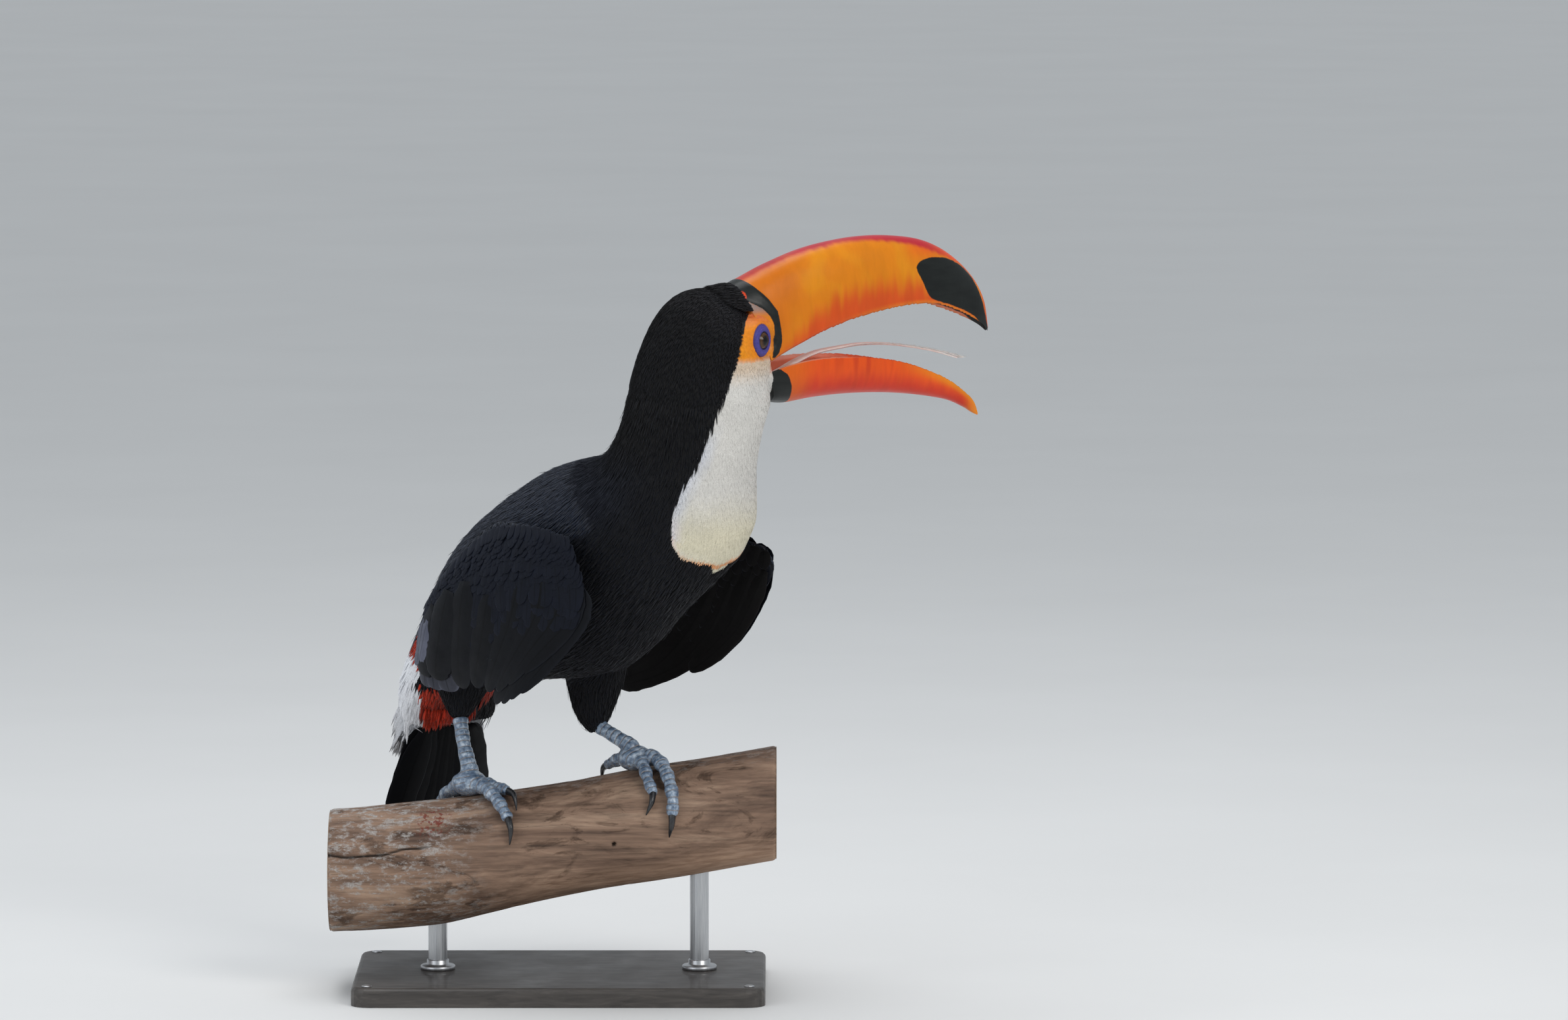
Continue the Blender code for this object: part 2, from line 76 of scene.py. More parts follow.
def settle(ob, slot, *replaced):
    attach(ob, "root")
    if replaced:
        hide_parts(*replaced)
    return ob


def unit(v):
    return v / np.maximum(np.linalg.norm(v, axis=-1, keepdims=True), 1e-12)


# takes out of v what runs along n
def across(v, n):
    return unit(v - n * (v * n).sum(-1, keepdims=True))


def smoothStep(low, high, x):
    u = np.clip((x - low) / (high - low), 0.0, 1.0)
    return u * u * (3.0 - 2.0 * u)


# from a to b by a part for each point
def lerp(a, b, part):
    part = np.asarray(part)[:, None]
    return a * (1.0 - part) + b * part


# the smooth curve from p1 to p2, with p0 before and p3 after them
def between(p0, p1, p2, p3, u):
    m1, m2 = 0.5 * (p2 - p0), 0.5 * (p3 - p1)
    return ((2 * u**3 - 3 * u**2 + 1) * p1 + (u**3 - 2 * u**2 + u) * m1
            + (3 * u**2 - 2 * u**3) * p2 + (u**3 - u**2) * m2)


# a smooth curve through the rows of a table, read at the places t
def spline(rows, t):
    rows = np.asarray(rows, float)
    t = np.clip(np.asarray(t, float), 0.0, len(rows) - 1.0)
    i = np.minimum(t.astype(int), len(rows) - 2)
    u = (t - i).reshape(t.shape + (1,) * (rows.ndim - 1))
    return between(rows[np.maximum(i - 1, 0)], rows[i], rows[i + 1],
                   rows[np.minimum(i + 2, len(rows) - 1)], u)


# reads a table of pairs at x
def follow(pairs, x):
    return np.interp(x, *np.array(pairs, float).T)


# a grid of points (rows, columns, 3) as a mesh, closed round its columns and over its ends
def gridShape(points, around=True, caps=True):
    points = np.asarray(points, float)
    if around:
        points = np.concatenate([points, points[:, :1]], axis=1)
    rows, cols = points.shape[:2]
    bm = bmesh.new()
    bmesh.ops.create_grid(bm, x_segments=cols - 1, y_segments=rows - 1, size=1.0)
    place = np.array([v.co for v in bm.verts])
    i = np.rint((place[:, 1] + 1.0) * 0.5 * (rows - 1)).astype(int)
    j = np.rint((place[:, 0] + 1.0) * 0.5 * (cols - 1)).astype(int)
    for v, p in zip(bm.verts, points[i, j]):
        v.co = p
    if around:
        bmesh.ops.remove_doubles(bm, verts=bm.verts, dist=1e-7)
        if caps:
            rim = [e for e in bm.edges if e.is_boundary]
            bmesh.ops.holes_fill(bm, edges=rim, sides=0)
    bmesh.ops.recalc_face_normals(bm, faces=bm.faces)
    return bm


# joins closed parts, remeshes them as one surface and smooths it
def oneSurface(name, parts, voxel, smoothing, mat):
    whole = bmesh.new()
    for bm in parts:
        part = meshFrom("part", bm)
        whole.from_mesh(part)
        bpy.data.meshes.remove(part)
    ob = objectFrom(name, whole, mat)
    mod = ob.modifiers.new("oneSurface", "REMESH")
    mod.mode = "VOXEL"
    mod.voxel_size = voxel
    rough = bpy.data.meshes.new_from_object(ob.evaluated_get(bpy.context.evaluated_depsgraph_get()))
    bm = bmesh.new()
    bm.from_mesh(rough)
    for _ in range(smoothing):
        bmesh.ops.smooth_vert(bm, verts=bm.verts, factor=0.5, use_axis_x=True, use_axis_y=True,
                              use_axis_z=True)
    old = ob.data
    bpy.data.objects.remove(ob)
    for mesh in (old, rough):
        bpy.data.meshes.remove(mesh)
    return objectFrom(name, bm, mat)


def setAttribute(ob, name, values):
    values = np.asarray(values, np.float32)
    if values.ndim == 1:
        layer = ob.data.attributes.new(name, "FLOAT", "POINT")
        layer.data.foreach_set("value", values)
        return
    full = np.ones((len(values), 4), np.float32)
    full[:, :3] = values
    layer = ob.data.attributes.new(name, "FLOAT_COLOR", "POINT")
    layer.data.foreach_set("color", full.ravel())


def readAll(items, key, width, kind=np.float32):
    flat = np.empty(len(items) * width, kind)
    items.foreach_get(key, flat)
    return flat.reshape(-1, width)


def pointsOf(mesh):
    return readAll(mesh.vertices, "co", 3).astype(float)


def normalsOf(mesh):
    return readAll(mesh.vertex_normals, "vector", 3).astype(float)


def movePoints(mesh, points):
    mesh.vertices.foreach_set("co", points.astype(np.float32).ravel())
    mesh.update()


def wavering(points, scale, seed=0.0):
    shift = Vector((seed, seed * 1.7, seed * 0.6))
    return np.array([noise.noise(Vector(p) * scale + shift) for p in points])


# a material, with short names for the nodes that all of them use
class Paint:
    def __init__(self, name, rough, **shader):
        self.mat = bpy.data.materials.new(name)
        self.mat.use_nodes = True
        self.tree = self.mat.node_tree
        self.main = self.tree.nodes["Principled BSDF"]
        names = {"specular": "Specular IOR Level", "coat": "Coat Weight", "coatRough": "Coat Roughness",
                 "sheen": "Sheen Weight", "sheenRough": "Sheen Roughness", "sheenTint": "Sheen Tint",
                 "under": "Subsurface Weight", "underRadius": "Subsurface Radius",
                 "underScale": "Subsurface Scale", "metal": "Metallic"}
        self.feed(self.main, {"Roughness": rough, **{names[key]: value for key, value in shader.items()}})
        self.place = self.node("TexCoord").outputs["Object"]

    def feed(self, made, values):
        for socket, value in values.items():
            if isinstance(value, bpy.types.NodeSocket):
                self.tree.links.new(value, made.inputs[socket])
            else:
                made.inputs[socket].default_value = value

    def node(self, kind, values=None, **settings):
        made = self.tree.nodes.new("ShaderNode" + kind)
        for key, value in settings.items():
            setattr(made, key, value)
        self.feed(made, values or {})
        return made

    def stretch(self, *scale):
        return self.node("Mapping", {"Vector": self.place, "Scale": scale}).outputs[0]

    def noise(self, scale, detail=4.0, rough=0.55, distortion=0.0, place=None):
        return self.node("TexNoise", {"Vector": place or self.place, "Scale": scale, "Detail": detail,
                                      "Roughness": rough, "Distortion": distortion}).outputs["Fac"]

    def cells(self, scale, **settings):
        return self.node("TexVoronoi", {"Vector": self.place, "Scale": scale}, **settings).outputs["Distance"]

    def read(self, name, output="Fac"):
        return self.node("Attribute", attribute_name=name).outputs[output]

    # stops are pairs of a place and a tone
    def ramp(self, fac, *stops):
        made = self.node("ValToRGB", {"Fac": fac})
        elements = made.color_ramp.elements
        while len(elements) < len(stops):
            elements.new(0.5)
        for element, (place, tone) in zip(elements, stops):
            element.position = place
            element.color = (*(tone if isinstance(tone, tuple) else (tone, tone, tone)), 1.0)
        return made.outputs["Color"]

    def tones(self, fac, low, high):
        return self.ramp(fac, (0.3, low), (0.7, high))

    def mix(self, fac, a, b, blend="MIX"):
        made = self.node("Mix", {0: fac}, data_type="RGBA", blend_type=blend)
        self.feed(made, {socket: (*value, 1.0) if isinstance(value, tuple) else value
                         for socket, value in ((6, a), (7, b))})
        return made.outputs[2]

    def times(self, *tones):
        product = tones[0]
        for tone in tones[1:]:
            product = self.mix(1.0, product, tone, "MULTIPLY")
        return product

    def calc(self, operation, a, b=0.0, c=0.0):
        return self.node("Math", {0: a, 1: b, 2: c}, operation=operation).outputs[0]

    # colour and roughness go in, then reliefs of height, strength and distance, the broadest first
    def finish(self, colour, rough, *reliefs):
        self.feed(self.main, {"Base Color": colour})
        if rough:
            self.feed(self.main, {"Roughness": rough})
        normal = {}
        for height, strength, distance in reliefs:
            bump = self.node("Bump", {"Height": height, "Strength": strength, "Distance": distance, **normal})
            normal = {"Normal": bump.outputs["Normal"]}
        self.feed(self.main, normal)
        return self.mat


# camera, light and floor

studio = {"target": (0.1417, 0.0, 0.305), "distance": 5.5, "elevation": 6.0, "lens": 200.0,
          "floorColour": (0.86, 0.86, 0.85), "sky": (0.90, 0.95, 1.0), "skyPower": 0.52}


def makeCamera():
    tilt = math.radians(studio["elevation"])
    tx, ty, tz = studio["target"]
    data = bpy.data.cameras.new("camera")
    data.lens = studio["lens"]
    data.sensor_width = 36.0
    camera = bpy.data.objects.new("camera", data)
    away = studio["distance"]
    camera.location = (tx, ty - away * math.cos(tilt), tz + away * math.sin(tilt))
    camera.rotation_euler = (math.radians(90.0) - tilt, 0.0, 0.0)
    bpy.context.scene.collection.objects.link(camera)
    bpy.context.scene.camera = camera


def areaLight(name, place, aim, size, power, colour):
    data = bpy.data.lights.new(name, "AREA")
    data.shape = "RECTANGLE"
    data.size, data.size_y = size
    data.energy = power
    data.color = colour
    lamp = bpy.data.objects.new(name, data)
    lamp.location = place
    lamp.rotation_euler = (Vector(aim) - Vector(place)).to_track_quat("-Z", "Y").to_euler()
    bpy.context.scene.collection.objects.link(lamp)


def makeFloor():
    paint = Paint("studioPaper", 0.75)
    pale = studio["floorColour"]
    mat = paint.finish(paint.tones(paint.noise(3.0), tuple(0.97 * c for c in pale), pale), None,
                       (paint.noise(900.0), 0.06, 0.0005))
    places = np.linspace(-30.0, 30.0, 13)     # wide enough to fill the picture from every side
    points = [[(x, y, 0.0) for x in places[::-1]] for y in places]
    objectFrom("studio_floor", gridShape(points, around=False), mat)


def makeStudio():
    makeCamera()
    scene = bpy.context.scene
    scene.view_settings.view_transform = "Standard"
    world = bpy.data.worlds.new("softSky")
    world.use_nodes = True
    sky = world.node_tree.nodes["Background"]
    sky.inputs["Color"].default_value = (*studio["sky"], 1.0)
    sky.inputs["Strength"].default_value = studio["skyPower"]
    scene.world = world
    # name, place, aim, size, power and colour
    areaLight("overhead", (-0.1, 0.25, 2.2), (0.05, 0.0, 0.3), (1.6, 1.2), 17.0, (0.97, 0.98, 1.0))
    areaLight("key", (1.5, -1.9, 1.6), (0.05, 0.0, 0.3), (1.1, 1.1), 20.0, (1.0, 0.98, 0.95))
    areaLight("fill", (-1.7, -1.6, 1.0), (0.0, 0.0, 0.25), (1.4, 1.2), 8.0, (0.93, 0.96, 1.0))
    makeFloor()
    print("stage: camera, light and floor")


makeStudio()


# the bird's own frames of reference

# sections of the body from the tail coverts to the face: x, y, z, heading, pitch, up, down, side, narrow
body = {"rows": [
    (-73, 72, 160, -54, 76, 7, 7, 36, 0.0),
    (-73.5, 70, 172, -54, 72, 15, 12, 38, 0.0),
    (-72, 66, 188, -52, 68, 24, 20, 37, 0.0),
    (-63, 56, 211, -46, 52, 29, 34, 36, 0.0),
    (-45, 38, 231, -42, 38, 46, 46, 43, 0.05),
    (-24, 19, 246, -41, 30, 59, 57, 48, 0.08),
    (15, -13, 265, -40, 29, 71, 66, 51, 0.10),
    (44, -37, 292, -40, 42, 63, 60, 51, 0.05),
    (73, -56, 318, -36, 60, 55, 58, 50, 0.0),
    (80, -58, 345, -22, 76, 46.5, 47, 47, 0.0),
    (85, -58, 366, 2, 84, 45, 45.5, 45, 0.0),
    (89.5, -54.5, 382, 21, 80, 46.5, 46, 42, 0.0),
    (92.8, -49, 398, 32, 67, 46.5, 46, 38, 0.03),
    (97.0, -45.2, 410, 33, 52.5, 45.5, 46, 34, 0.08),
    (103.7, -40.8, 416.5, 33, 41, 43.2, 43, 30, 0.14),
    (111.3, -35.9, 416, 33, 31, 40.2, 40.5, 25.5, 0.20),
    (119.7, -30.5, 413.5, 33, 22.5, 40.5, 40.5, 21, 0.24)],
    "headYaw": 33.0, "billRoot": (105.0, -40.0)}


def bodySurface(t, a):
    row = spline(body["rows"], t)
    h, p = np.radians(row[..., 3]), np.radians(row[..., 4])
    forward = np.stack([np.cos(p) * np.cos(h), np.cos(p) * np.sin(h), np.sin(p)], -1)
    top = np.stack([-np.sin(p) * np.cos(h), -np.sin(p) * np.sin(h), np.cos(p)], -1)
    left = np.stack([-np.sin(h), np.cos(h), 0.0 * h], -1)
    c, s = np.cos(a), np.sin(a)
    rise = np.where(c > 0, row[..., 5], row[..., 6]) * c
    across = row[..., 7] * (1.0 - row[..., 8] * c) * s
    return (row[..., :3] + top * rise[..., None] + left * across[..., None]) * mm, forward


# forward, aside (to the bird's right) and height in mm, in the head's frame
def headPlace(points):
    a = math.radians(body["headYaw"])
    x = points[..., 0] / mm - body["billRoot"][0]
    y = points[..., 1] / mm - body["billRoot"][1]
    return (x * math.cos(a) + y * math.sin(a), x * math.sin(a) - y * math.cos(a), points[..., 2] / mm)


def fromHead(forward, aside, height):
    a = math.radians(body["headYaw"])
    x = body["billRoot"][0] + forward * math.cos(a) + aside * math.sin(a)
    y = body["billRoot"][1] + forward * math.sin(a) - aside * math.cos(a)
    return np.stack(np.broadcast_arrays(x, y, height), -1) * mm


# eyes and the bare skin round them

eye = {"forward": 10.4, "aside": 19.5, "height": 416.9, "radius": 7.5, "turn": 27.0,
       "opening": 5.5, "ring": 10.5, "plane": 4.1,
       "reach": [(0, 16.8), (40, 15.0), (70, 12.3), (95, 11.7), (130, 12.6), (180, 17.5), (225, 22.5),
                 (255, 22.8), (277, 19.0), (310, 16.4), (335, 16.4), (360, 16.8)],
       "violet": (0.062, 0.052, 0.25), "violetDark": (0.020, 0.018, 0.10)}


def eyeFrame(side):
    centre = fromHead(eye["forward"], side * eye["aside"], eye["height"])
    turn = math.radians(eye["turn"])
    origin = fromHead(0.0, 0.0, 0.0)
    ahead = unit(fromHead(1.0, 0.0, 0.0) - origin)
    aside = unit(fromHead(0.0, 1.0, 0.0) - origin) * side
    axis = math.cos(turn) * aside + math.sin(turn) * ahead
    front = math.cos(turn) * ahead - math.sin(turn) * aside
    return centre, axis, front, np.array((0.0, 0.0, 1.0))


# lowers everything round the eye to make room for the lids
def hollowSockets(points):
    for side in (1.0, -1.0):
        centre, axis = eyeFrame(side)[:2]
        away = points - centre
        height = away @ axis / mm
        r = np.linalg.norm(away - (away @ axis)[:, None] * axis, axis=1) / mm
        limit = eye["plane"] - 1.2 + np.maximum(r - eye["ring"] + 0.5, 0.0) * 1.6
        over = np.where((height > -4.0) & (r < 16.0), np.maximum(height - limit, 0.0), 0.0)
        points = points - axis * (over * mm)[:, None]
    return points


# faces of the folded wings: rows run down or out to the tips, in mm
nearWing = {"side": 1.0, "grid": [
    [(4, -82, 302), (-18, -55, 307), (-42, -19, 304), (-64, -3, 283), (-80, 8, 259), (-88, 42, 242)],
    [(12, -96, 280), (-12, -76, 284), (-42, -43, 278), (-66, -17, 260), (-82, 4, 240), (-91, 32, 226)],
    [(16, -102, 258), (-10, -84, 258), (-41, -53, 252), (-66, -22, 237), (-82, 1, 221), (-91, 24, 211)],
    [(10, -98, 235), (-13, -83, 231), (-40, -55, 223), (-65, -22, 209), (-82, 0, 205), (-91, 20, 201)],
    [(-8, -87, 205), (-25, -75, 197), (-41, -50, 190), (-61, -20, 191), (-80, 0, 191), (-90, 16, 192)]]}
farWing = {"side": -1.0, "grid": [
    [(64, -5, 331), (94, 6, 306), (112, 5, 291), (131, 4, 283)],
    [(38, 19, 326), (72, 27, 300), (105, 18, 281), (137, 5, 267)],
    [(14, 41, 310), (46, 53, 281), (88, 37, 257), (130, 17, 247)],
    [(-12, 63, 288), (22, 75, 258), (68, 58, 230), (116, 35, 223)],
    [(-31, 81, 264), (0, 94, 234), (44, 80, 206), (90, 56, 199)],
    [(-42, 98, 245), (-16, 106, 219), (22, 98, 196), (66, 72, 188)],
    [(-52, 106, 232), (-32, 114, 210), (4, 110, 193), (41, 90, 181)]]}
wingInward = np.array((0.64, 0.77, 0.0))


# place on a wing's face at rows u and columns v, carried straight on past its edges
def wingFace(wing, u, v):
    grid = np.asarray(wing["grid"], float)
    lastU, lastV = grid.shape[0] - 1.0, grid.shape[1] - 1.0
    u, v = np.broadcast_arrays(np.asarray(u, float), np.asarray(v, float))

    def inside(uu, vv):
        columns = spline(grid, uu)
        i = np.minimum(vv.astype(int), grid.shape[1] - 2)
        pick = np.arange(len(vv))
        corners = [columns[pick, k] for k in (np.maximum(i - 1, 0), i, i + 1,
                                              np.minimum(i + 2, grid.shape[1] - 1))]
        return between(*corners, (vv - i)[:, None])

    shape = u.shape
    u, v = u.ravel(), v.ravel()
    cu, cv = np.clip(u, 0.0, lastU), np.clip(v, 0.0, lastV)
    inU, inV = np.clip(cu, 0.05, lastU - 0.05), np.clip(cv, 0.05, lastV - 0.05)
    slopeU = (inside(inU + 0.05, cv) - inside(inU - 0.05, cv)) / 0.1
    slopeV = (inside(cu, inV + 0.05) - inside(cu, inV - 0.05)) / 0.1
    p = inside(cu, cv) + slopeU * (u - cu)[:, None] + slopeV * (v - cv)[:, None]
    out = unit(np.cross(slopeU, slopeV))
    out *= np.where((out * wingInward).sum(-1, keepdims=True) > 0, -1.0, 1.0)
    return [(q * s).reshape(shape + (3,)) for q, s in ((p, mm), (slopeU, mm), (slopeV, mm), (out, 1.0))]


legs = {"thighRight": [(-61, 32, 228, 25), (-62, 28, 206, 24), (-63, 24, 190, 19), (-64, 19, 176, 10.5),
                       (-64, 17, 168.5, 6.4)],
        "thighLeft": [(20, 22, 224, 25), (22, 22, 203, 22), (21, 19, 185, 17.5), (21.5, 16, 171, 12.5),
                      (25, 14, 162.5, 7)]}


# rings round a path of x, y, z, radius, carried along without twisting
def tubeRings(path, count, shape=None):
    path = np.asarray(path, float)
    centre, radius = path[:, :3], path[:, 3]
    ahead = unit(np.gradient(centre, axis=0))
    side = unit(np.cross(ahead[0], (0.31, 0.87, 0.38)))
    angles = np.linspace(0.0, 2.0 * math.pi, count, endpoint=False)
    rings = []
    for i in range(len(path)):
        side = unit(side - ahead[i] * side.dot(ahead[i]))
        other = np.cross(ahead[i], side)
        spokes = np.cos(angles)[:, None] * side + np.sin(angles)[:, None] * other
        size = radius[i] * np.ones(count)
        if shape is not None:
            size = size * shape(i, spokes)
        rings.append(centre[i] + spokes * size[:, None])
    return np.array(rings)


# every point of the skin takes its lie and its place from the nearest of these
def lieCloud():
    parts = []

    def add(p, d, kind, a, b):
        p = p.reshape(-1, 3)
        parts.append((p, unit(d.reshape(-1, 3)), np.full(len(p), kind), a.ravel(), b.ravel()))

    t, a = np.meshgrid(np.linspace(0.0, 16.0, 200), np.linspace(0.0, 2 * math.pi, 120, endpoint=False))
    p, forward = bodySurface(t, a)
    add(p, -forward, 0, t, a)
    for kind, wing in ((1, nearWing), (2, farWing)):
        rows, cols = len(wing["grid"]) - 1.0, len(wing["grid"][0]) - 1.0
        u, v = np.meshgrid(np.linspace(0.0, rows, 70), np.linspace(0.0, cols, 70))
        p, slopeU, _, out = wingFace(wing, u, v)
        add(p, slopeU, kind, u, v)
        add(p - out * 0.007, slopeU, kind, u, v)
    for kind, name in ((3, "thighRight"), (4, "thighLeft")):
        rows = spline(legs[name], np.linspace(0.0, 4.0, 40)) * mm
        down = np.repeat(np.gradient(rows[:, :3], axis=0)[:, None], 40, axis=1)
        place = np.repeat(np.linspace(0.0, 4.0, 40)[:, None], 40, axis=1)
        add(tubeRings(rows, 40), down, kind, place, 0.0 * place)
    return [np.concatenate(x) for x in zip(*parts)]


# the skin

# how deep the skin lies under the solids, to leave room for the feathers, in m
skinSettings = {"voxel": 0.0018, "smoothing": 14, "depth": 0.0017, "wingDepth": 0.0013,
                "tipDepth": 0.0021, "headDepth": 0.0012,
                "cuts": {"wing_right": (nearWing, 3.0), "wing_left": (farWing, 3.6)}}


# a copy of a body's mesh, a wing's without the tips below row u, where the flight feathers take over
def fleshOf(name):
    bm = bmesh.new()
    bm.from_mesh(nodes[name].data)
    bmesh.ops.remove_doubles(bm, verts=bm.verts, dist=1e-5)
    if name in skinSettings["cuts"]:
        wing, u = skinSettings["cuts"][name]
        columns = np.array([0.35, 0.65]) * (len(wing["grid"][0]) - 1.0)
        p, slopeU = wingFace(wing, u, columns)[:2]
        geom = list(bm.verts) + list(bm.edges) + list(bm.faces)
        bmesh.ops.bisect_plane(bm, geom=geom, dist=1e-6, plane_co=Vector(p.mean(0)),
                               plane_no=Vector(unit(slopeU.mean(0))), clear_outer=True)
        bmesh.ops.holes_fill(bm, edges=[e for e in bm.edges if e.is_boundary], sides=0)
    return bm


def makeSkin(mat):
    names = ("trunk", "neck", "head", "thigh_right", "thigh_left", "wing_right", "wing_left")
    return oneSurface("skin", [fleshOf(name) for name in names], skinSettings["voxel"],
                      skinSettings["smoothing"], mat)


# markings and painted light, shared by the skin and the coat

marks = {
    # white throat: how far forward of the bill's root its back edge runs, by height
    "faceHeights": [374, 385, 393, 405, 413, 419.5, 428, 435, 452],
    "faceEdge": [-36.5, -28.4, -22.2, -13.6, -9.3, -5.6, 0.4, 11.0, 28.0],
    # bib: height, middle direction about the neck, half angle, and the neck's middle there
    "bib": [(279, -50, 4, 78, -57), (281, -50, 14, 78, -57), (282.4, -50, 27, 78, -57),
            (286.5, -50, 39.5, 78, -57), (294.6, -49, 46.6, 78, -57), (303, -47, 50, 78, -57),
            (313, -43, 53, 78, -57), (324, -36, 55.3, 77, -57), (336, -22, 62.8, 77, -57.5),
            (350, -2, 77, 81, -58), (363, 16, 94, 85, -58), (374, 33, 106.5, 87, -56.5),
            (385, 33, 106.5, 90, -54)],
    "bibBottom": [(0, 278.6), (14, 281), (27, 282.4), (39.5, 286.5), (46.6, 294.6), (50, 303), (60, 330)],
    # the back and wing tones are bluer and lighter than the rest: black plumage with a painted blue sheen
    "nape": (0.0065, 0.0060, 0.0055), "crown": (0.010, 0.009, 0.009), "back": (0.0105, 0.0120, 0.0185),
    "belly": (0.0065, 0.0062, 0.0066), "wing": (0.0095, 0.0110, 0.0165),
    "throat": (0.66, 0.64, 0.60), "cream": (0.67, 0.62, 0.47), "paintedCoolShade": (0.66, 0.68, 0.75),
    "rim": (0.74, 0.34, 0.15), "orange": (0.82, 0.25, 0.008), "salmon": (0.70, 0.17, 0.055),
    "amber": (0.86, 0.31, 0.008), "greySkin": (0.40, 0.29, 0.24), "nostril": (0.72, 0.06, 0.012),
    # the vent's red is darker than its own colour, as painted shade
    "gape": (0.80, 0.28, 0.17), "snow": (0.84, 0.85, 0.88), "vent": (0.50, 0.032, 0.010)}


def bibMargin(points):
    f, h = headPlace(points)[::2]
    face = f - np.interp(h, marks["faceHeights"], marks["faceEdge"])
    table = np.array(marks["bib"], float)
    middle, half, cx, cy = [np.interp(h, table[:, 0], table[:, k]) for k in (1, 2, 3, 4)]
    dx, dy = points[:, 0] / mm - cx, points[:, 1] / mm - cy
    turn = np.degrees(np.arctan2(dy, dx)) - middle
    turn = np.abs((turn + 180.0) % 360.0 - 180.0)
    low = np.array(marks["bibBottom"], float)
    rise = h - np.interp(turn, low[:, 0], low[:, 1])
    side = (half - turn) * math.pi / 180.0 * np.hypot(dx, dy)
    bib = np.where(h < 300, np.minimum(rise, side + 14.0), side)
    up = smoothStep(368, 380, h)
    return bib * (1.0 - up) + face * up, rise


# which coat each point wears: 0 black, 1 throat and bib, 2 bare face, 3 white rump, 4 red vent
def coatOf(points, kind, t, a):
    margin, rise = bibMargin(points)
    x, h = points[:, 0] / mm, points[:, 2] / mm
    wander = wavering(points, 180.0)
    margin = margin + wander
    onBody = kind == 0
    coat = np.zeros(len(points), int)
    coat[onBody & (margin > 0) & (t > 7.3)] = 1
    tuft = onBody & (rise < 1.0) & (rise > -3.5) & (t > 7.3) & (h < 290)
    coat[tuft & (x > 98) & (x < 107) & (points[:, 1] < -0.06)] = 1
    coat[(coat == 1) & (h > 404.5 + 2.0 * wander) & (t > 11.5)] = 2
    top = np.cos(a)
    coat[onBody & (t < 2.75) & (top > -0.15 + 0.10 * wander)] = 3
    lowest = follow([(-80, 170), (-58, 171), (-36, 192)], x) + 2.0 * wander
    redPart = onBody & (t < 2.3) & (top <= -0.15 + 0.10 * wander)
    coat[onBody & (t >= 2.75) & (t < 3.2) & (np.abs(top - 0.12) < 0.36)] = 4
    coat[redPart & (x > -89 + 1.5 * wander) & (h > lowest)] = 4
    coat[redPart & (x <= -89 + 1.5 * wander)] = 3
    return coat, margin, rise


def markingsAndPaintedLight(points, kind, t, a):
    coat, margin, rise = coatOf(points, kind, t, a)
    f, h = headPlace(points)[::2]
    top = np.cos(a)
    tone = {key: np.array(value) for key, value in marks.items() if isinstance(value, tuple)}
    # the upper side of the body takes the back's blue-black, a painted sheen
    toBack = smoothStep(9.6, 7.6, t) * smoothStep(-0.5, 0.5, top)
    colour = lerp(tone["nape"], tone["back"], toBack)
    colour[smoothStep(12.5, 14.5, t) > 0.5] = tone["crown"]
    colour = lerp(colour, tone["belly"], smoothStep(0.2, -0.4, top) * (t < 8.6))
    colour[(kind == 1) | (kind == 2)] = tone["wing"]
    colour[kind > 2] = tone["belly"]

    # throat white above, cream below, a painted bluish shade along the near edge, orange-red at the lower rim
    pale = lerp(tone["throat"], tone["cream"], smoothStep(335, 300, h + 5.0 * wavering(points, 40.0, 3.0)))
    edge = smoothStep(11.0, 1.0, margin) * smoothStep(378, 350, h) * smoothStep(284, 300, h)
    pale = lerp(pale, tone["paintedCoolShade"], 0.75 * edge)
    rim = smoothStep(6.5, 1.5, rise + 2.0 * wavering(points, 110.0, 9.0)) * (h < 300) * (rise > -0.8)
    pale = lerp(pale, tone["rim"], rim * (0.2 + 0.8 * smoothStep(70.0, 96.0, points[:, 0] / mm)))
    blush = smoothStep(0.25, 0.6, wavering(points, 60.0, 5.0)) * smoothStep(330, 310, h)
    pale = lerp(pale, tone["rim"], 0.10 * blush)
    pale = lerp(pale, np.array((0.72, 0.42, 0.16)), smoothStep(392, 404, h) * 0.45)
    colour = np.where((coat == 1)[:, None], pale, colour)

    # bare face: salmon above the eye, orange round it, paler where it meets the throat
    bare = lerp(tone["orange"], tone["salmon"], smoothStep(424, 434, h))
    bare = lerp(bare, tone["amber"], 0.6 * smoothStep(4.0, -8.0, f) * smoothStep(426, 412, h))
    bare = lerp(bare, tone["throat"], smoothStep(408, 401, h + 1.5 * wavering(points, 200.0, 1.0)))
    bare = lerp(bare, tone["greySkin"], smoothStep(434.0, 436.5, h) * smoothStep(3.0, 9.0, f))
    colour = np.where((coat == 2)[:, None], bare, colour)
    mouth = smoothStep(19.5, 22.5, f) * smoothStep(409, 405, h) * smoothStep(396, 400, h)
    colour = lerp(colour, tone["gape"], mouth * (kind == 0) * (t > 13.0))
    colour[coat == 3] = tone["snow"]
    # the red is painted darker towards its lower edge, as painted shade on the underside
    deep = 0.30 + 0.70 * smoothStep(168, 192, h + 6.0 * wavering(points, 120.0, 2.0))
    colour = np.where((coat == 4)[:, None], tone["vent"] * deep[:, None], colour)
    return colour, coat, margin


def skinMaterial():
    paint = Paint("skinUnderFeathers", 0.58, specular=0.20, under=0.12, underRadius=(1.0, 0.35, 0.2),
                  underScale=0.0012)
    folds = paint.noise(260.0, 5.0, 0.6, 1.2, paint.stretch(1.0, 1.0, 2.4))
    colour = paint.times(paint.read("markingsAndPaintedLight", "Color"), paint.tones(paint.noise(420.0, 6.0), 0.80, 1.12))
    return paint.finish(colour, paint.tones(paint.noise(700.0, 3.0), 0.42, 0.62),
                        (paint.cells(900.0, feature="DISTANCE_TO_EDGE"), 0.25, 0.0003), (folds, 0.35, 0.0009))


